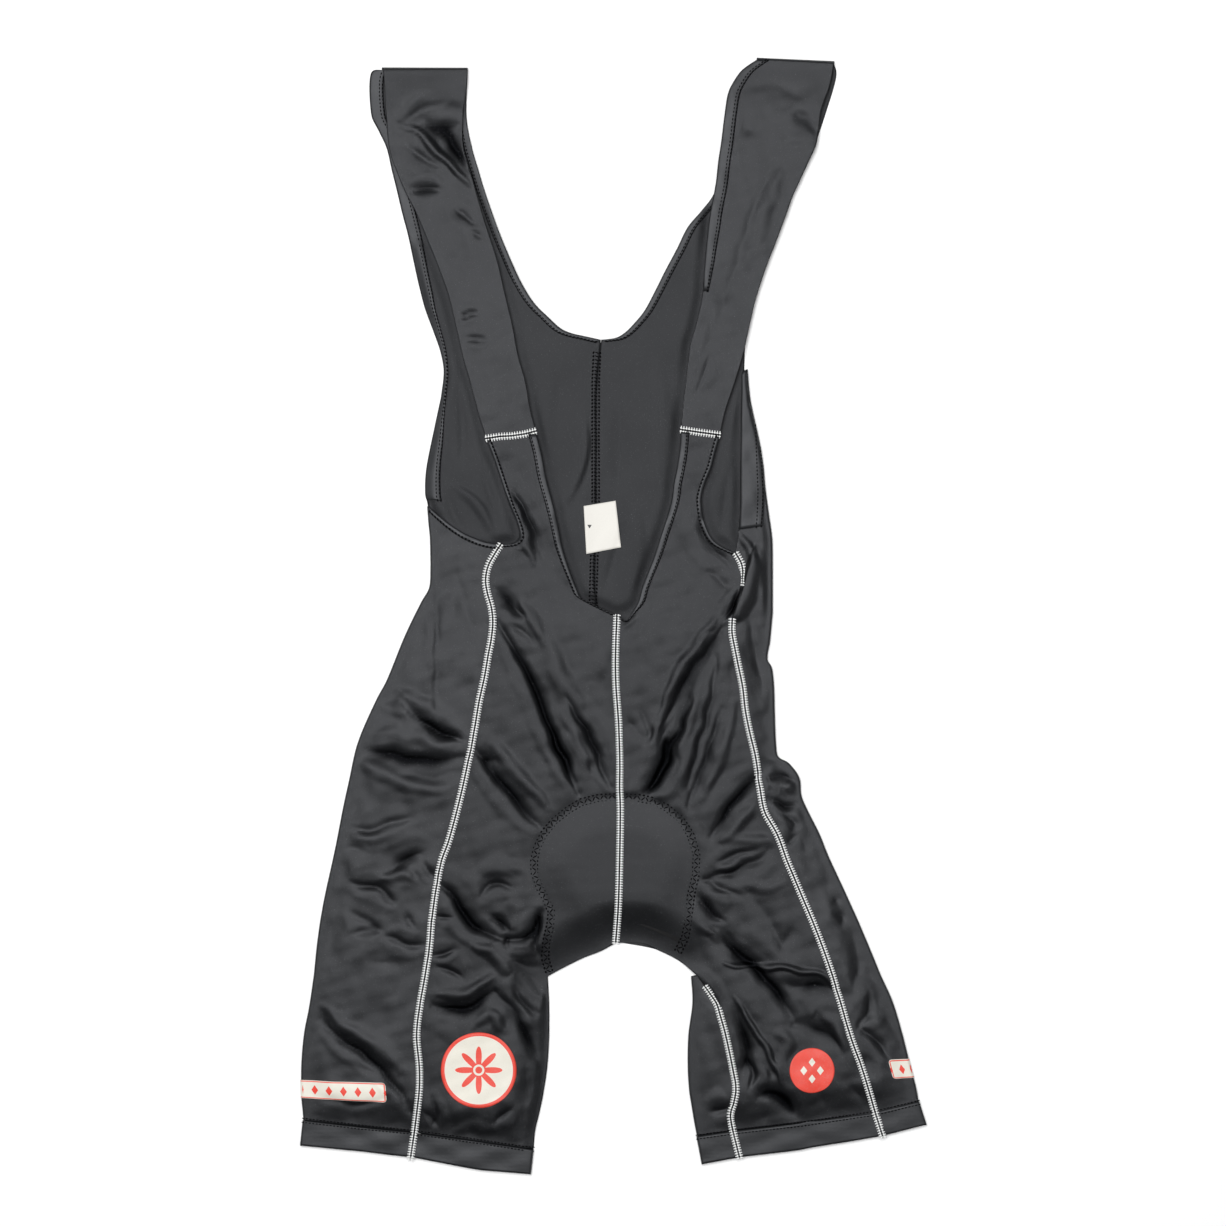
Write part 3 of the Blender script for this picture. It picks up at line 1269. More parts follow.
def polar(finish, centre):
    """Distance from a centre, in metres, and the angle round it."""
    spot = finish.place(Location=(-centre[0] * MM, -centre[1] * MM, 0.0))
    x, y = finish.split(spot)
    reach = x.math("SQRT", x * x + y * y)
    turn = x.math("ARCTAN2", y, x)
    return x, y, reach, turn


def print_finish(name, centre, cream, red, motif):
    finish = Finish(name, 0.55)
    x, y, reach, turn = polar(finish, centre)
    mask = motif(x, y, reach, turn)
    worn = finish.noise(260, 4.0)
    crackle = finish.noise(1500, 2.0) > 0.63
    plain = finish.blend(worn, colour(cream, 0.93), colour(cream, 1.0))
    ink = finish.blend(worn, colour(red, 0.9), colour(red, 1.08))
    inked = finish.blend(mask, plain, ink)
    finish.use("Base Color", finish.blend(crackle * 0.18, inked, colour((0.5, 0.45, 0.4))))
    finish.use("Roughness", worn * 0.2 + 0.42)
    finish.bump(worn + crackle * 0.4, 0.00015, 0.4)
    return finish.material


def flower(x, y, reach, turn):
    """A red rim and a plain eight-petalled flower."""
    rim = reach > 0.0256
    petal = 0.0115 + 0.0062 * x.math("COSINE", turn * 8)
    leaves = (reach < petal) * (reach > 0.0042)
    eye = reach < 0.0026
    return rim.larger(leaves.larger(eye))


def lozenges(x, y, reach, turn):
    """A red disc that four cream lozenges are left out of."""
    left_out = None
    for dx, dy in ((0.0062, 0), (-0.0062, 0), (0, 0.0062), (0, -0.0062)):
        shape = (abs(x - dx) / 0.0026 + abs(y - dy) / 0.0034) < 1.0
        left_out = shape if left_out is None else left_out.larger(shape)
    return 1 - left_out


class Track:
    """Evenly spaced places along a line on a surface, each with its directions."""

    def __init__(self, line, height, pitch):
        line = np.array(line, float)
        run = np.concatenate([[0], np.cumsum(np.hypot(*np.diff(line, axis=0).T))])
        count = max(int(run[-1] / pitch), 2)
        spots = np.linspace(0, run[-1], count + 1)
        flat = np.stack([np.interp(spots, run, line[:, k]) for k in (0, 1)], axis=1)
        ahead = np.gradient(flat, axis=0)
        ahead /= np.linalg.norm(ahead, axis=1, keepdims=True)
        aside = np.stack([-ahead[:, 1], ahead[:, 0]], axis=1)
        self.spots = self.on(flat, height)
        self.ahead = np.gradient(self.spots, axis=0)
        self.ahead /= np.linalg.norm(self.ahead, axis=1, keepdims=True)
        self.aside = self.on(flat + aside, height) - self.on(flat - aside, height)
        self.aside /= np.linalg.norm(self.aside, axis=1, keepdims=True)
        self.up = np.cross(self.ahead, self.aside)
        self.count = len(flat)

    @staticmethod
    def on(flat, height):
        return np.concatenate([flat, height(flat)[:, None]], axis=1)

    def row(self, offset, lift, length, radius, skew=0.0, start=0, every=1):
        """Stitches along the line: each has a centre, three half axes."""
        pick = slice(start, None, every)
        centre = (self.spots + self.aside * offset + self.up * lift)[pick]
        turned = self.ahead[pick] * math.cos(skew) + self.aside[pick] * math.sin(skew)
        wide = self.aside[pick] * math.cos(skew) - self.ahead[pick] * math.sin(skew)
        return centre, turned * length / 2, wide * radius, self.up[pick] * radius * STITCH_FLATNESS


def stitch_template(segments=6, rings=4):
    bm = bmesh.new()
    bmesh.ops.create_uvsphere(bm, u_segments=segments, v_segments=rings, radius=1)
    bmesh.ops.rotate(bm, verts=bm.verts, matrix=Matrix.Rotation(math.pi / 2, 3, "Y"), cent=(0, 0, 0))
    bm.verts.ensure_lookup_table()
    bm.verts.index_update()
    verts = np.array([v.co[:] for v in bm.verts])
    faces = [[v.index for v in f.verts] for f in bm.faces]
    bm.free()
    return verts, faces


def stamp(name, rows):
    """One mesh that holds a small rounded stitch at every place of the rows."""
    verts, faces = stitch_template()
    centre, ahead, aside, up = (np.concatenate([row[k] for row in rows]) for k in range(4))
    points = (
        centre[:, None]
        + verts[None, :, :1] * ahead[:, None]
        + verts[None, :, 1:2] * aside[:, None]
        + verts[None, :, 2:] * up[:, None]
    )
    count = len(verts)
    mesh = bpy.data.meshes.new(name)
    mesh.from_pydata(
        (points.reshape(-1, 3) * MM).tolist(),
        [],
        [[i + k * count for i in face] for k in range(len(centre)) for face in faces],
    )
    return new_piece(name, mesh)


def back_height(points):
    return BACK_LEVEL + back_relief(points)


RAILS = {}


def rails():
    """All rails, built once."""
    if RAILS:
        return RAILS
    RAILS["seam_left"], RAILS["seam_right"] = Rail(LEFT_SEAM), Rail(RIGHT_SEAM)
    RAILS["middle_left"], RAILS["middle_right"] = Rail(LEFT_MIDDLE), Rail(RIGHT_MIDDLE)
    below = {name: LEFT_SEAM[name] for name in LEFT_FOLD}
    RAILS["side_seam_left"], RAILS["fold_left"] = Rail(below), Rail(LEFT_FOLD)
    below = {**FLAP_SEAM, **{name: RIGHT_SEAM[name] for name in RIGHT_FOLD if name in RIGHT_SEAM}}
    RAILS["side_seam_right"], RAILS["fold_right"] = Rail(below), Rail(RIGHT_FOLD)
    return RAILS


def under_rail(seam, fold, under, names):
    """Where the part of a panel below its fold ends, row by row."""
    result = {}
    for name in names:
        a, b = fold.at(fold.row(name)), seam.at(seam.row(name))
        far = np.hypot(*(b - a))
        result[name] = [tuple(a + (b - a) * (under(fold.row(name)) / far))]
    return result


def front_panel(side):
    lines = rails()
    seam, middle = lines[f"seam_{side}"], lines[f"middle_{side}"]
    place = front_sheet(seam, middle)
    vs = stations((seam, middle), 0, len(seam.names) - 1, GRID_STEP)
    sheet = sheet_mesh(f"front_panel_{side}", place, across(PANEL_WIDTH, GRID_STEP), vs, creased=True)
    return thicken(sheet, CLOTH)


def side_panel(side):
    place, seam, fold = side_place(side)
    vs = stations((seam, fold), 0, len(fold.names) - 1, GRID_STEP)
    us = np.concatenate([
        np.linspace(0, TOP_SHARE, 46),
        np.linspace(TOP_SHARE, TOP_SHARE + TURN_SHARE, 9)[1:],
        np.linspace(TOP_SHARE + TURN_SHARE, 1, 9)[1:],
    ])
    return thicken(sheet_mesh(f"side_panel_{side}", place, us, vs, creased=True), CLOTH)


def side_place(side):
    lines = rails()
    seam, fold = lines[f"side_seam_{side}"], lines[f"fold_{side}"]
    left = side == "left"
    under = column(fold, LEFT_UNDER if left else RIGHT_UNDER)
    dip = column(fold, LEFT_DIP if left else RIGHT_DIP)
    return side_sheet(seam, fold, under, dip), seam, fold


def inner_leg_rails():
    names = list(INNER_LEG_FOLD)
    return Rail({name: RIGHT_MIDDLE[name] for name in names}, ()), Rail(INNER_LEG_FOLD, ())


def back_panel(side):
    lines = rails()
    left = side == "left"
    fold = lines[f"fold_{side}"]
    under = column(fold, LEFT_UNDER if left else RIGHT_UNDER)
    below = under_rail(lines[f"side_seam_{side}"], fold, under, fold.names)
    outer = {**(LEFT_OUTER if left else RIGHT_OUTER), **below}
    inner = dict(LEFT_INNER if left else RIGHT_INNER)
    inner.update(CENTRE_BACK)
    middle = LEFT_MIDDLE if left else RIGHT_MIDDLE
    if left:
        outer["armhole"] = [(-139, 80.5)]
        inner.update({name: middle[name] for name in middle if name not in inner and name in below})
    else:
        seam, leg = inner_leg_rails()
        inner["crotch curve"] = middle["crotch curve"]
        inner.update(under_rail(seam, leg, column(leg, INNER_LEG_UNDER), leg.names))
    outer_rail, inner_rail = Rail(outer), Rail(inner)
    shoulder = outer_rail.row("shoulder")
    both = (outer_rail, inner_rail)
    vs = np.concatenate([
        stations(both, 0, shoulder - SHOULDER_TURN, BACK_STEP),
        np.linspace(shoulder - SHOULDER_TURN, shoulder + SHOULDER_TURN, 11)[1:-1],
        stations(both, shoulder + SHOULDER_TURN, len(outer_rail.names) - 1, BACK_STEP),
    ])
    place = back_sheet(outer_rail, inner_rail)
    us = across(PANEL_WIDTH, BACK_STEP)
    piece = sheet_mesh(f"strap_and_back_{side}", place, us, vs, inner_from=shoulder, creased=True)
    return thicken(piece, CLOTH), place, outer_rail


# Widths of the turned edges at some heights in Y, in millimetres
NECK_HEM_WIDTHS = {200: 5, 212: 5.5, 260: 6, 400: 6}
ARMHOLE_HEM_WIDTHS = {
    85: 12, 108: 11, 126: 9.5, 145: 6.5, 163: 4, 185: 3.2, 205: 5, 240: 9, 300: 10.5, 410: 10.5,
}
STRAP_HEM_WIDTHS = {235: 3, 262: 7, 290: 9, 420: 9}
FRONT_NECK_WIDTHS = {0: 5, 60: 6}
FRONT_ARMHOLE_WIDTHS = {50: 3.5, 130: 3}
SIDE_ARMHOLE_WIDTHS = {50: 4}
FLAP_HEM_WIDTHS = {50: 11, 90: 11, 150: 8, 185: 4}

HEM_STITCHES = {}


def edge_band(name, place, rows, widths, at_inner, count=0):
    """A turned hem: a rolled strip along one edge of a sheet."""
    heights = sorted(widths)
    values = [widths[y] for y in heights]

    def on_edge(s, v):
        near, far = place(0 * v, v), place(0 * v + 1, v)
        length = np.hypot(*np.moveaxis((far - near)[..., :2], -1, 0))
        edge = far if at_inner else near
        share = s * np.interp(edge[..., 1], heights, values) / length
        spot = place(1 - share if at_inner else share, v)
        spot[..., 2] += EDGE_LIFT + EDGE_ROLL * np.sqrt(np.clip(np.sin(math.pi * s * 0.97 + 0.04), 0, 1))
        return spot

    count = count or int((rows[1] - rows[0]) * EDGE_ROWS)
    along = np.linspace(*rows, count)[None]
    HEM_STITCHES[name] = [on_edge(0 * along + s, along)[0] for s in EDGE_STITCHES]
    shares = np.linspace(0, 1, EDGE_SPANS + 1)
    return thicken(sheet_mesh(name, on_edge, shares, np.linspace(*rows, count)), EDGE_WALL)


def hem_piece(piece, node, finish):
    dress(piece, finish)
    if node:
        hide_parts(node)


def lay(piece, node, material):
    dress(piece, material)
    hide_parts(*([node] if isinstance(node, str) else node))


class BibShortsSizes(bpy.types.PropertyGroup):
    thread_width: bpy.props.FloatProperty(
        name="Thread width",
        description="Thickness of the white seam thread",
        default=0.0015,
        unit="LENGTH",
    )
    stitch_pitch: bpy.props.FloatProperty(
        name="Stitch pitch",
        description="Distance from one seam stitch to the next",
        default=0.0019,
        unit="LENGTH",
    )


class BibShortsColours(bpy.types.PropertyGroup):
    satin: bpy.props.FloatVectorProperty(
        name="Satin", description="Colour of the cloth", default=(0.0032, 0.0034, 0.004), subtype="COLOR"
    )
    hem: bpy.props.FloatVectorProperty(
        name="Hem", description="Colour of the turned hems", default=(0.012, 0.0125, 0.0135), subtype="COLOR"
    )
    thread: bpy.props.FloatVectorProperty(
        name="Thread", description="Colour of the flat seams", default=(0.93, 0.94, 0.93), subtype="COLOR"
    )
    cream: bpy.props.FloatVectorProperty(
        name="Cream print", description="Ground of the prints", default=(0.77, 0.74, 0.65), subtype="COLOR"
    )
    red: bpy.props.FloatVectorProperty(
        name="Red print", description="Ink of the prints", default=(0.76, 0.055, 0.032), subtype="COLOR"
    )


class GARMENT_OT_front_panels(bpy.types.Operator):
    """Lay the two front panels"""

    bl_idname = "garment.front_panels"
    bl_label = "Front panels"

    def execute(self, context):
        satin = satin_finish("satin front", context.scene.bib_colours.satin, 0.42)
        for side in ("left", "right"):
            lay(front_panel(side), f"front_{side}", satin)
        return {"FINISHED"}


class GARMENT_OT_front_edges(bpy.types.Operator):
    """Turn the front's neck and armhole edges"""

    bl_idname = "garment.front_edges"
    bl_label = "Front neck and armhole edges"

    def execute(self, context):
        finish = hem_finish("front edge", context.scene.bib_colours.hem, 0.45)
        lines = rails()
        for side in ("left", "right"):
            seam, middle = lines[f"seam_{side}"], lines[f"middle_{side}"]
            place = front_sheet(seam, middle)
            rows = (0.05, middle.row("neck point") - 0.02)
            hem_piece(edge_band(f"neck_edge_{side}", place, rows, FRONT_NECK_WIDTHS, True), None, finish)
            rows = (0.05, seam.row("armhole"))
            band = edge_band(f"armhole_edge_{side}", place, rows, FRONT_ARMHOLE_WIDTHS, False)
            hem_piece(band, None, finish)
        along_side, _, _ = side_place("left")

        def place(u, v):
            return along_side(v, u)

        band = edge_band("armhole_edge_side", place, (0, TOP_SHARE), SIDE_ARMHOLE_WIDTHS, False, SIDE_EDGE_ROWS)
        hem_piece(band, None, finish)
        return {"FINISHED"}


class GARMENT_OT_side_panels(bpy.types.Operator):
    """Lay the two side panels, which turn under at the outer fold"""

    bl_idname = "garment.side_panels"
    bl_label = "Side panels"

    def execute(self, context):
        satin = satin_finish("satin side", context.scene.bib_colours.satin, 0.42, 0.46)
        for side in ("left", "right"):
            lay(side_panel(side), f"side_{side}", satin)
        seam, leg = inner_leg_rails()
        place = side_sheet(seam, leg, column(leg, INNER_LEG_UNDER), lambda v: 0 * v)
        vs = stations((seam, leg), 0, len(leg.names) - 1, GRID_STEP)
        strip = sheet_mesh("back_panel_round_leg", place, across(STRIP_WIDTH, GRID_STEP), vs)
        lay(thicken(strip, CLOTH), "back_right_round_leg", satin)
        place, _, fold = side_place("right")
        rows = (0, fold.row("armpit") + 0.3)
        band = edge_band("armhole_hem_band_right", place, rows, FLAP_HEM_WIDTHS, False)
        finish = hem_finish("flap hem", context.scene.bib_colours.hem, 0.48)
        hem_piece(band, "armhole_hem_right", finish)
        return {"FINISHED"}


class GARMENT_OT_back_panels(bpy.types.Operator):
    """Lay the two straps with the back panels that they are cut in one with"""

    bl_idname = "garment.back_panels"
    bl_label = "Straps and back"

    def execute(self, context):
        colours = context.scene.bib_colours
        satin = satin_finish("satin back", colours.satin, 0.42, 0.45)
        inner = satin_finish("satin inner side", colours.satin, 0.5, 0.39)
        hem = hem_finish("edge hem", colours.hem, 0.48)
        for side in ("left", "right"):
            piece, place, outer = back_panel(side)
            nodes = [f"strap_{side}", f"back_upper_{side}", f"back_{side}"]
            lay(piece, nodes, satin)
            piece.data.materials.append(inner)
            self.hems(side, place, outer, hem)
        return {"FINISHED"}

    def hems(self, side, place, outer, finish):
        """The turned edges of the back's neck and armhole, and of the strap where it turns over."""
        shoulder, scoop = outer.row("shoulder"), outer.row("scoop point")
        neck = (shoulder + 1.3 if side == "left" else shoulder + 2.5, scoop)
        piece = edge_band(f"neck_hem_band_{side}", place, neck, NECK_HEM_WIDTHS, True)
        hem_piece(piece, f"neck_hem_{side}", finish)
        if side == "left":
            rows = (shoulder + 0.15, outer.row("armpit") + 0.4)
            piece = edge_band("armhole_hem_band_left", place, rows, ARMHOLE_HEM_WIDTHS, False)
            hem_piece(piece, "armhole_hem_left", finish)
        else:
            rows = (outer.row("front mid") + 0.6, shoulder - SHOULDER_TURN)
            piece = edge_band("strap_hem_band_right", place, rows, STRAP_HEM_WIDTHS, True)
            hem_piece(piece, None, finish)


class GARMENT_OT_leg_hems(bpy.types.Operator):
    """Lay the two turned leg hems"""

    bl_idname = "garment.leg_hems"
    bl_label = "Leg hems"

    def execute(self, context):
        finish = hem_finish("leg hem", context.scene.bib_colours.hem, 0.5)
        for side, line, edge in (
            ("left", LEFT_HEM_LINE, LEFT_HEM_EDGE),
            ("right", RIGHT_HEM_LINE, RIGHT_HEM_EDGE),
        ):
            us = np.concatenate([
                np.linspace(start, start + HEM_FLAT_SHARE, HEM_SPANS + 1).tolist()
                + np.linspace(start + HEM_FLAT_SHARE, start + 0.5, HEM_TURN_SPANS + 1)[1:-1].tolist()
                for start in (0, 0.5)
            ] + [[1.0]])
            place = hem_sheet(line, edge)
            piece = sheet_mesh(f"leg_hem_band_{side}", place, us, np.linspace(0, 1, HEM_ROWS + 1), ring=True)
            thicken(piece, HEM_WALL)
            lay(piece, f"leg_hem_{side}", finish)
        return {"FINISHED"}


class GARMENT_OT_seat_pad(bpy.types.Operator):
    """Place the seat pad between the layers"""

    bl_idname = "garment.seat_pad"
    bl_label = "Seat pad"

    def execute(self, context):
        bm = bmesh.new()
        ring = [bm.verts.new((x * MM, y * MM, PAD_UNDER * MM)) for x, y in PAD_SOLID]
        bm.faces.new(ring)
        bmesh.ops.recalc_face_normals(bm, faces=bm.faces)
        if bm.faces[:][0].normal.z < 0:
            bmesh.ops.reverse_faces(bm, faces=bm.faces)
        core = bm.faces[:][0]
        for width, rise in PAD_STEPS:
            bmesh.ops.inset_region(bm, faces=[core], thickness=width, depth=rise, use_even_offset=True)
        piece = finished("seat_pad_foam", bm)
        wall = piece.modifiers.new("thickness", "SOLIDIFY")
        wall.thickness = PAD_WALL
        wall.offset = 1
        dress(piece, pad_finish("pad foam", (0.012, 0.012, 0.013)))
        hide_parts("seat_pad")
        return {"FINISHED"}


class GARMENT_OT_care_label(bpy.types.Operator):
    """Lay the blank woven label inside the back"""

    bl_idname = "garment.care_label"
    bl_label = "Care label"

    def execute(self, context):
        corners = np.array(CARE_LABEL, float)

        def place(u, v):
            u, v = u[..., None], v[..., None]
            low = corners[0] + (corners[1] - corners[0]) * u
            high = corners[3] + (corners[2] - corners[3]) * u
            flat = low + (high - low) * v
            curl = 0.7 * (2 * u[..., 0] - 1) ** 2 + 0.5 * (1 - v[..., 0]) ** 3
            return np.dstack([flat, back_height(flat) + 0.9 + curl])

        piece = sheet_mesh("blank_care_label", place, np.linspace(0, 1, 17), np.linspace(0, 1, 23))
        thicken(piece, 0.3)
        finish = label_finish("label satin", (0.75, 0.73, 0.68))
        lay(piece, "care_label", finish)
        return {"FINISHED"}


def disc_places(centre, radius):
    """A square grid pulled into a disc on the upper layer."""

    def place(u, v):
        a, b = 2 * u - 1, 2 * v - 1
        x = centre[0] + radius * a * np.sqrt(1 - b * b / 2)
        y = centre[1] + radius * b * np.sqrt(1 - a * a / 2)
        flat = np.dstack([x, y])
        return np.dstack([flat, top_height(flat) + PRINT_LIFT])

    return place


def locate(place, spot, guess):
    """The place (u, v) on a sheet that lies at a point in plan, by a few Newton steps."""
    u, v = guess
    probe = 1e-3
    for _ in range(12):
        at = place(np.array([[u, u + probe, u]]), np.array([[v, v, v + probe]]))[0, :, :2]
        du, dv = (at[1] - at[0]) / probe, (at[2] - at[0]) / probe
        miss = np.array(spot) - at[0]
        area = du[0] * dv[1] - du[1] * dv[0]
        u += (miss[0] * dv[1] - miss[1] * dv[0]) / area
        v += (miss[1] * du[0] - miss[0] * du[1]) / area
    return u, v


def bar_print(side, place, low, high, reach, row):
    """A bar with rounded corners that starts on the side panel and runs out round its fold."""
    (u_low, v_low), (u_high, v_high) = (locate(place, spot, (0.5, row)) for spot in (low, high))
    far = TOP_SHARE + 0.6 * TURN_SHARE
    width = math.dist(low, high)

    def on_side(s, t):
        inset = np.clip(1 - s * reach / BAR_END, 0, 1)
        pull = (BAR_END / width) * (1 - np.sqrt(1 - inset**2))
        t = pull + (1 - 2 * pull) * t
        start = u_high + (u_low - u_high) * t
        spot = place(start + (far - start) * s, v_high + (v_low - v_high) * t)
        spot[..., 2] += BAR_LIFT * np.cos(math.pi * np.clip((s - 0.9) / 0.2, 0, 0.5))
        spot[..., 0] += (BAR_ASIDE if side == "right" else -BAR_ASIDE) * np.clip((s - 0.85) / 0.1, 0, 1)
        return spot

    us = np.concatenate([np.linspace(0, 0.06, 9), np.linspace(0.08, 1, 60)])
    piece = sheet_mesh(f"bar_print_{side}", on_side, us, np.linspace(0, 1, 17), marked=True)
    return thicken(piece, PRINT_WALL)


def bar_finish(name, length, width, cream, red):
    """Cream with a thin red line near its edges and a row of small red lozenges."""
    finish = Finish(name, 0.5)
    worn = finish.noise(260, 4.0)
    along, aside = finish.split(finish.node("ShaderNodeUVMap", {"uv_map": "spread"}))
    along, aside = along * length, aside * width
    rim = along.smaller(aside).smaller(width - aside)
    line = (rim > 0.5) * (rim < 1.25)
    step = along.math("PINGPONG", along + 0.6, 4.6)
    shape = (step / 2.2 + abs(aside - width / 2) / 3.9) < 1.0
    plain = finish.blend(worn, colour(cream, 0.93), colour(cream, 1.0))
    finish.use("Base Color", finish.blend(shape.larger(line), plain, colour(red)))
    finish.use("Roughness", worn * 0.2 + 0.4)
    finish.bump(worn, 0.00012, 0.4)
    return finish.material


class GARMENT_OT_prints(bpy.types.Operator):
    """Put the plain prints on the legs"""

    bl_idname = "garment.prints"
    bl_label = "Prints"

    def execute(self, context):
        colours = context.scene.bib_colours
        steps = np.linspace(0, 1, PRINT_SPANS + 1)
        for side, (centre, radius), motif, slot in (
            ("left", LEFT_ROUND, flower, "cream_print"),
            ("right", RIGHT_ROUND, lozenges, "red_print"),
        ):
            piece = sheet_mesh(f"round_print_{side}", disc_places(centre, radius), steps, steps)
            thicken(piece, PRINT_WALL)
            finish = print_finish(f"round print {side}", centre, colours.cream, colours.red, motif)
            dress(piece, finish)
            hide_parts(f"round_patch_{side}")
        for side, (low, high, reach) in (("left", LEFT_BAR), ("right", RIGHT_BAR)):
            place, _, fold = side_place(side)
            piece = bar_print(side, place, low, high, reach, fold.row("thigh low"))
            width = math.dist(low, high)
            finish = bar_finish(f"bar print {side}", reach, width, colours.cream, colours.red)
            dress(piece, finish)
            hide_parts(f"bar_patch_{side}")
        return {"FINISHED"}


def seam_height(points):
    """Height of the cloth under a flat seam, which climbs over the turned edge at the armholes."""
    away = [np.hypot(points[..., 0] - x, points[..., 1] - y) for x, y in SEAM_CLIMB_AT]
    return top_height(points) + SEAM_CLIMB * smooth(1 - np.minimum(*away) / SEAM_CLIMB_OVER)


def leg_line(rail, edge_points, start=0.0):
    """A seam's line in plan from a row down to its leg's lower edge."""
    last = len(rail.names) - 1
    line = rail.at(np.linspace(start, last, int((last - start) * 20))).tolist()
    return line + [list(edge_points)]


def flat_seam(track, radius):
    """The rows of stitches of a white flatlock seam: two cords and the threads across them."""
    return [
        track.row(offset, lift, length, wide or radius, slant)
        for offset, lift, length, wide, slant in WHITE_CORDS + WHITE_LADDER
    ]


class GARMENT_OT_white_seams(bpy.types.Operator):
    """Sew the white flat seams"""

    bl_idname = "garment.white_seams"
    bl_label = "White seams"

    def execute(self, context):
        lines = rails()
        sizes = context.scene.bib_sizes
        pitch, radius = sizes.stitch_pitch / MM, sizes.thread_width / MM / 2
        left, right = lines["seam_left"], lines["seam_right"]
        middle = lines["middle_left"]
        centre = middle.at(np.linspace(middle.row("neck point"), middle.row("crotch"), SEAM_POINTS))
        right_top = right.at(np.linspace(right.row("armhole"), right.row("rib") + 0.15, 40))
        inner, _ = inner_leg_rails()
        paths = {
            "side_seam_thread_left": leg_line(left, (-152, -409), left.row("armhole")),
            "side_seam_thread_right_top": right_top.tolist(),
            "side_seam_thread_right": leg_line(right, (202.5, -392.5), right.row("neck point") + 0.45),
            "centre_seam_thread": centre.tolist(),
            "inner_leg_seam_thread": leg_line(inner, (95, -408), 0.4),
            "strap_seam_thread_left": [(-95, 131.5), (-85, 133), (-76, 133.5), (-66, 135), (-58, 137)],
            "strap_seam_thread_right": [(80, 134.2), (66, 136), (51, 138.2)],
        }
        thread = thread_finish("white thread", context.scene.bib_colours.thread, 0.6)
        for name, path in paths.items():
            track = Track(path, seam_height, pitch)
            dress(stamp(name, flat_seam(track, radius)), thread)
        return {"FINISHED"}


def line_height(line, points):
    """Height of the nearest place of a line in space."""
    return line[np.argmin(np.hypot(*(points[:, None] - line[None, :, :2]).T), axis=0), 2]


class GARMENT_OT_dark_stitching(bpy.types.Operator):
    """Sew the black seams and the stitches of the hems and the pad"""

    bl_idname = "garment.dark_stitching"
    bl_label = "Dark stitching"

    def execute(self, context):
        thread = thread_finish("black thread", (0.003, 0.003, 0.0035), 0.9, 0.05)
        pad = Track(PAD_OUTLINE, top_height, PAD_PITCH)
        rows = [pad.row(*row) for row in PAD_EDGES + PAD_ZIGZAG]
        dress(stamp("pad_stitching", rows), thread)
        back = Track(CENTRE_BACK_STITCHES, back_height, BACK_SEAM_PITCH)
        rows = [back.row(*row) for row in BACK_SEAM]
        dress(stamp("centre_back_stitching", rows), thread)
        for name, lines in HEM_STITCHES.items():
            tracks = [Track(line[:, :2], partial(line_height, line), EDGE_PITCH) for line in lines]
            rows = [track.row(*EDGE_STITCH) for track in tracks]
            dress(stamp(f"{name}_stitching", rows), thread)
        for side, line in (("left", LEFT_HEM_LINE), ("right", RIGHT_HEM_LINE)):
            track = Track(line, lambda points: top_height(points) + LEG_HEM_LIFT, LEG_HEM_PITCH)
            rows = [track.row(*row) for row in LEG_HEM_STITCHES]
            dress(stamp(f"hem_stitching_{side}", rows), thread)
        return {"FINISHED"}


# Each light's place and size in metres, and its power
LIGHTS = (("soft box", (-0.5, 0.6, 3.1), 2.2, 130), ("fill", (1.4, -1.2, 2.6), 1.6, 10))
EYE = (0, 0.00075, 2.5)


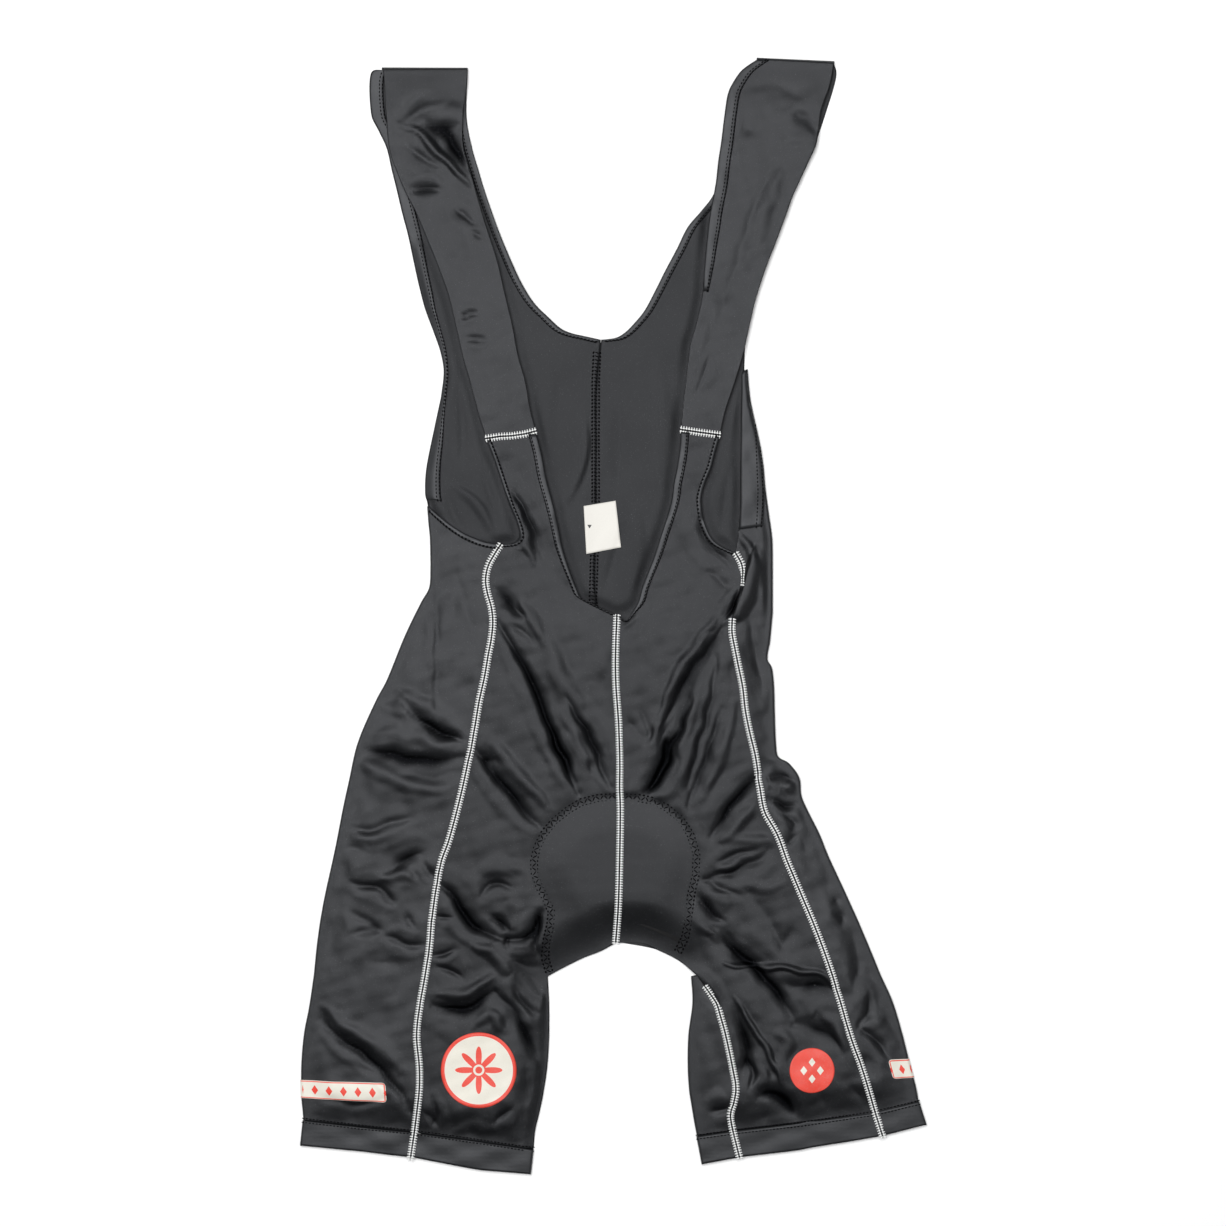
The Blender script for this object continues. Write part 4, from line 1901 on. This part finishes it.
class GARMENT_OT_stage(bpy.types.Operator):
    """Set up the floor, the lights and the camera"""

    bl_idname = "garment.stage"
    bl_label = "Stage"

    def execute(self, context):
        scene = context.scene
        bm = bmesh.new()
        bmesh.ops.create_grid(bm, x_segments=2, y_segments=2, size=4)
        mesh = bpy.data.meshes.new("floor")
        bm.to_mesh(mesh)
        bm.free()
        floor = bpy.data.objects.new("floor", mesh)
        scene.collection.objects.link(floor)
        paper = Finish("floor paper", 0.9)
        white = (1, 1, 1)
        paper.use("Base Color", paper.blend(paper.noise(3), colour(white, 0.96), colour(white, 0.98)))
        mesh.materials.append(paper.material)

        world = bpy.data.worlds.new("studio")
        world.use_nodes = True
        world.node_tree.nodes["Background"].inputs["Color"].default_value = (0.9, 0.95, 1.0, 1)
        world.node_tree.nodes["Background"].inputs["Strength"].default_value = 0.03
        scene.world = world
        scene.view_settings.view_transform = "Standard"
        for name, at, size, power in LIGHTS:
            light = bpy.data.lights.new(name, "AREA")
            light.shape = "SQUARE"
            light.size = size
            light.energy = power
            lamp = bpy.data.objects.new(name, light)
            scene.collection.objects.link(lamp)
            lamp.location = at
            aim = math.atan2(math.hypot(at[0], at[1]), at[2])
            lamp.rotation_euler = (aim, 0, math.atan2(at[0], -at[1]))

        camera = bpy.data.cameras.new("camera")
        camera.type = "PERSP"
        camera.sensor_width = 36
        camera.lens = 97.72
        camera.dof.use_dof = False
        eye = bpy.data.objects.new("camera", camera)
        eye.location = EYE
        scene.collection.objects.link(eye)
        scene.camera = eye
        return {"FINISHED"}


OPERATORS = (
    GARMENT_OT_front_panels,
    GARMENT_OT_front_edges,
    GARMENT_OT_side_panels,
    GARMENT_OT_back_panels,
    GARMENT_OT_leg_hems,
    GARMENT_OT_seat_pad,
    GARMENT_OT_care_label,
    GARMENT_OT_prints,
    GARMENT_OT_white_seams,
    GARMENT_OT_dark_stitching,
    GARMENT_OT_stage,
)


class GARMENT_PT_bib_shorts(bpy.types.Panel):
    bl_label = "Bib shorts"
    bl_space_type = "VIEW_3D"
    bl_region_type = "UI"
    bl_category = "Bib Shorts"

    def draw(self, context):
        for group in (context.scene.bib_sizes, context.scene.bib_colours):
            for name in group.__annotations__:
                self.layout.prop(group, name)
        for operator in OPERATORS:
            self.layout.operator(operator.bl_idname)


CLASSES = (BibShortsSizes, BibShortsColours, *OPERATORS, GARMENT_PT_bib_shorts)


def register():
    for item in CLASSES:
        bpy.utils.register_class(item)
    bpy.types.Scene.bib_sizes = bpy.props.PointerProperty(type=BibShortsSizes)
    bpy.types.Scene.bib_colours = bpy.props.PointerProperty(type=BibShortsColours)


def unregister():
    del bpy.types.Scene.bib_colours
    del bpy.types.Scene.bib_sizes
    for item in reversed(CLASSES):
        bpy.utils.unregister_class(item)


def main():
    register()
    for operator in OPERATORS:
        name = operator.bl_idname.split(".")[1]
        getattr(bpy.ops.garment, name)()


if __name__ == "__main__":
    main()
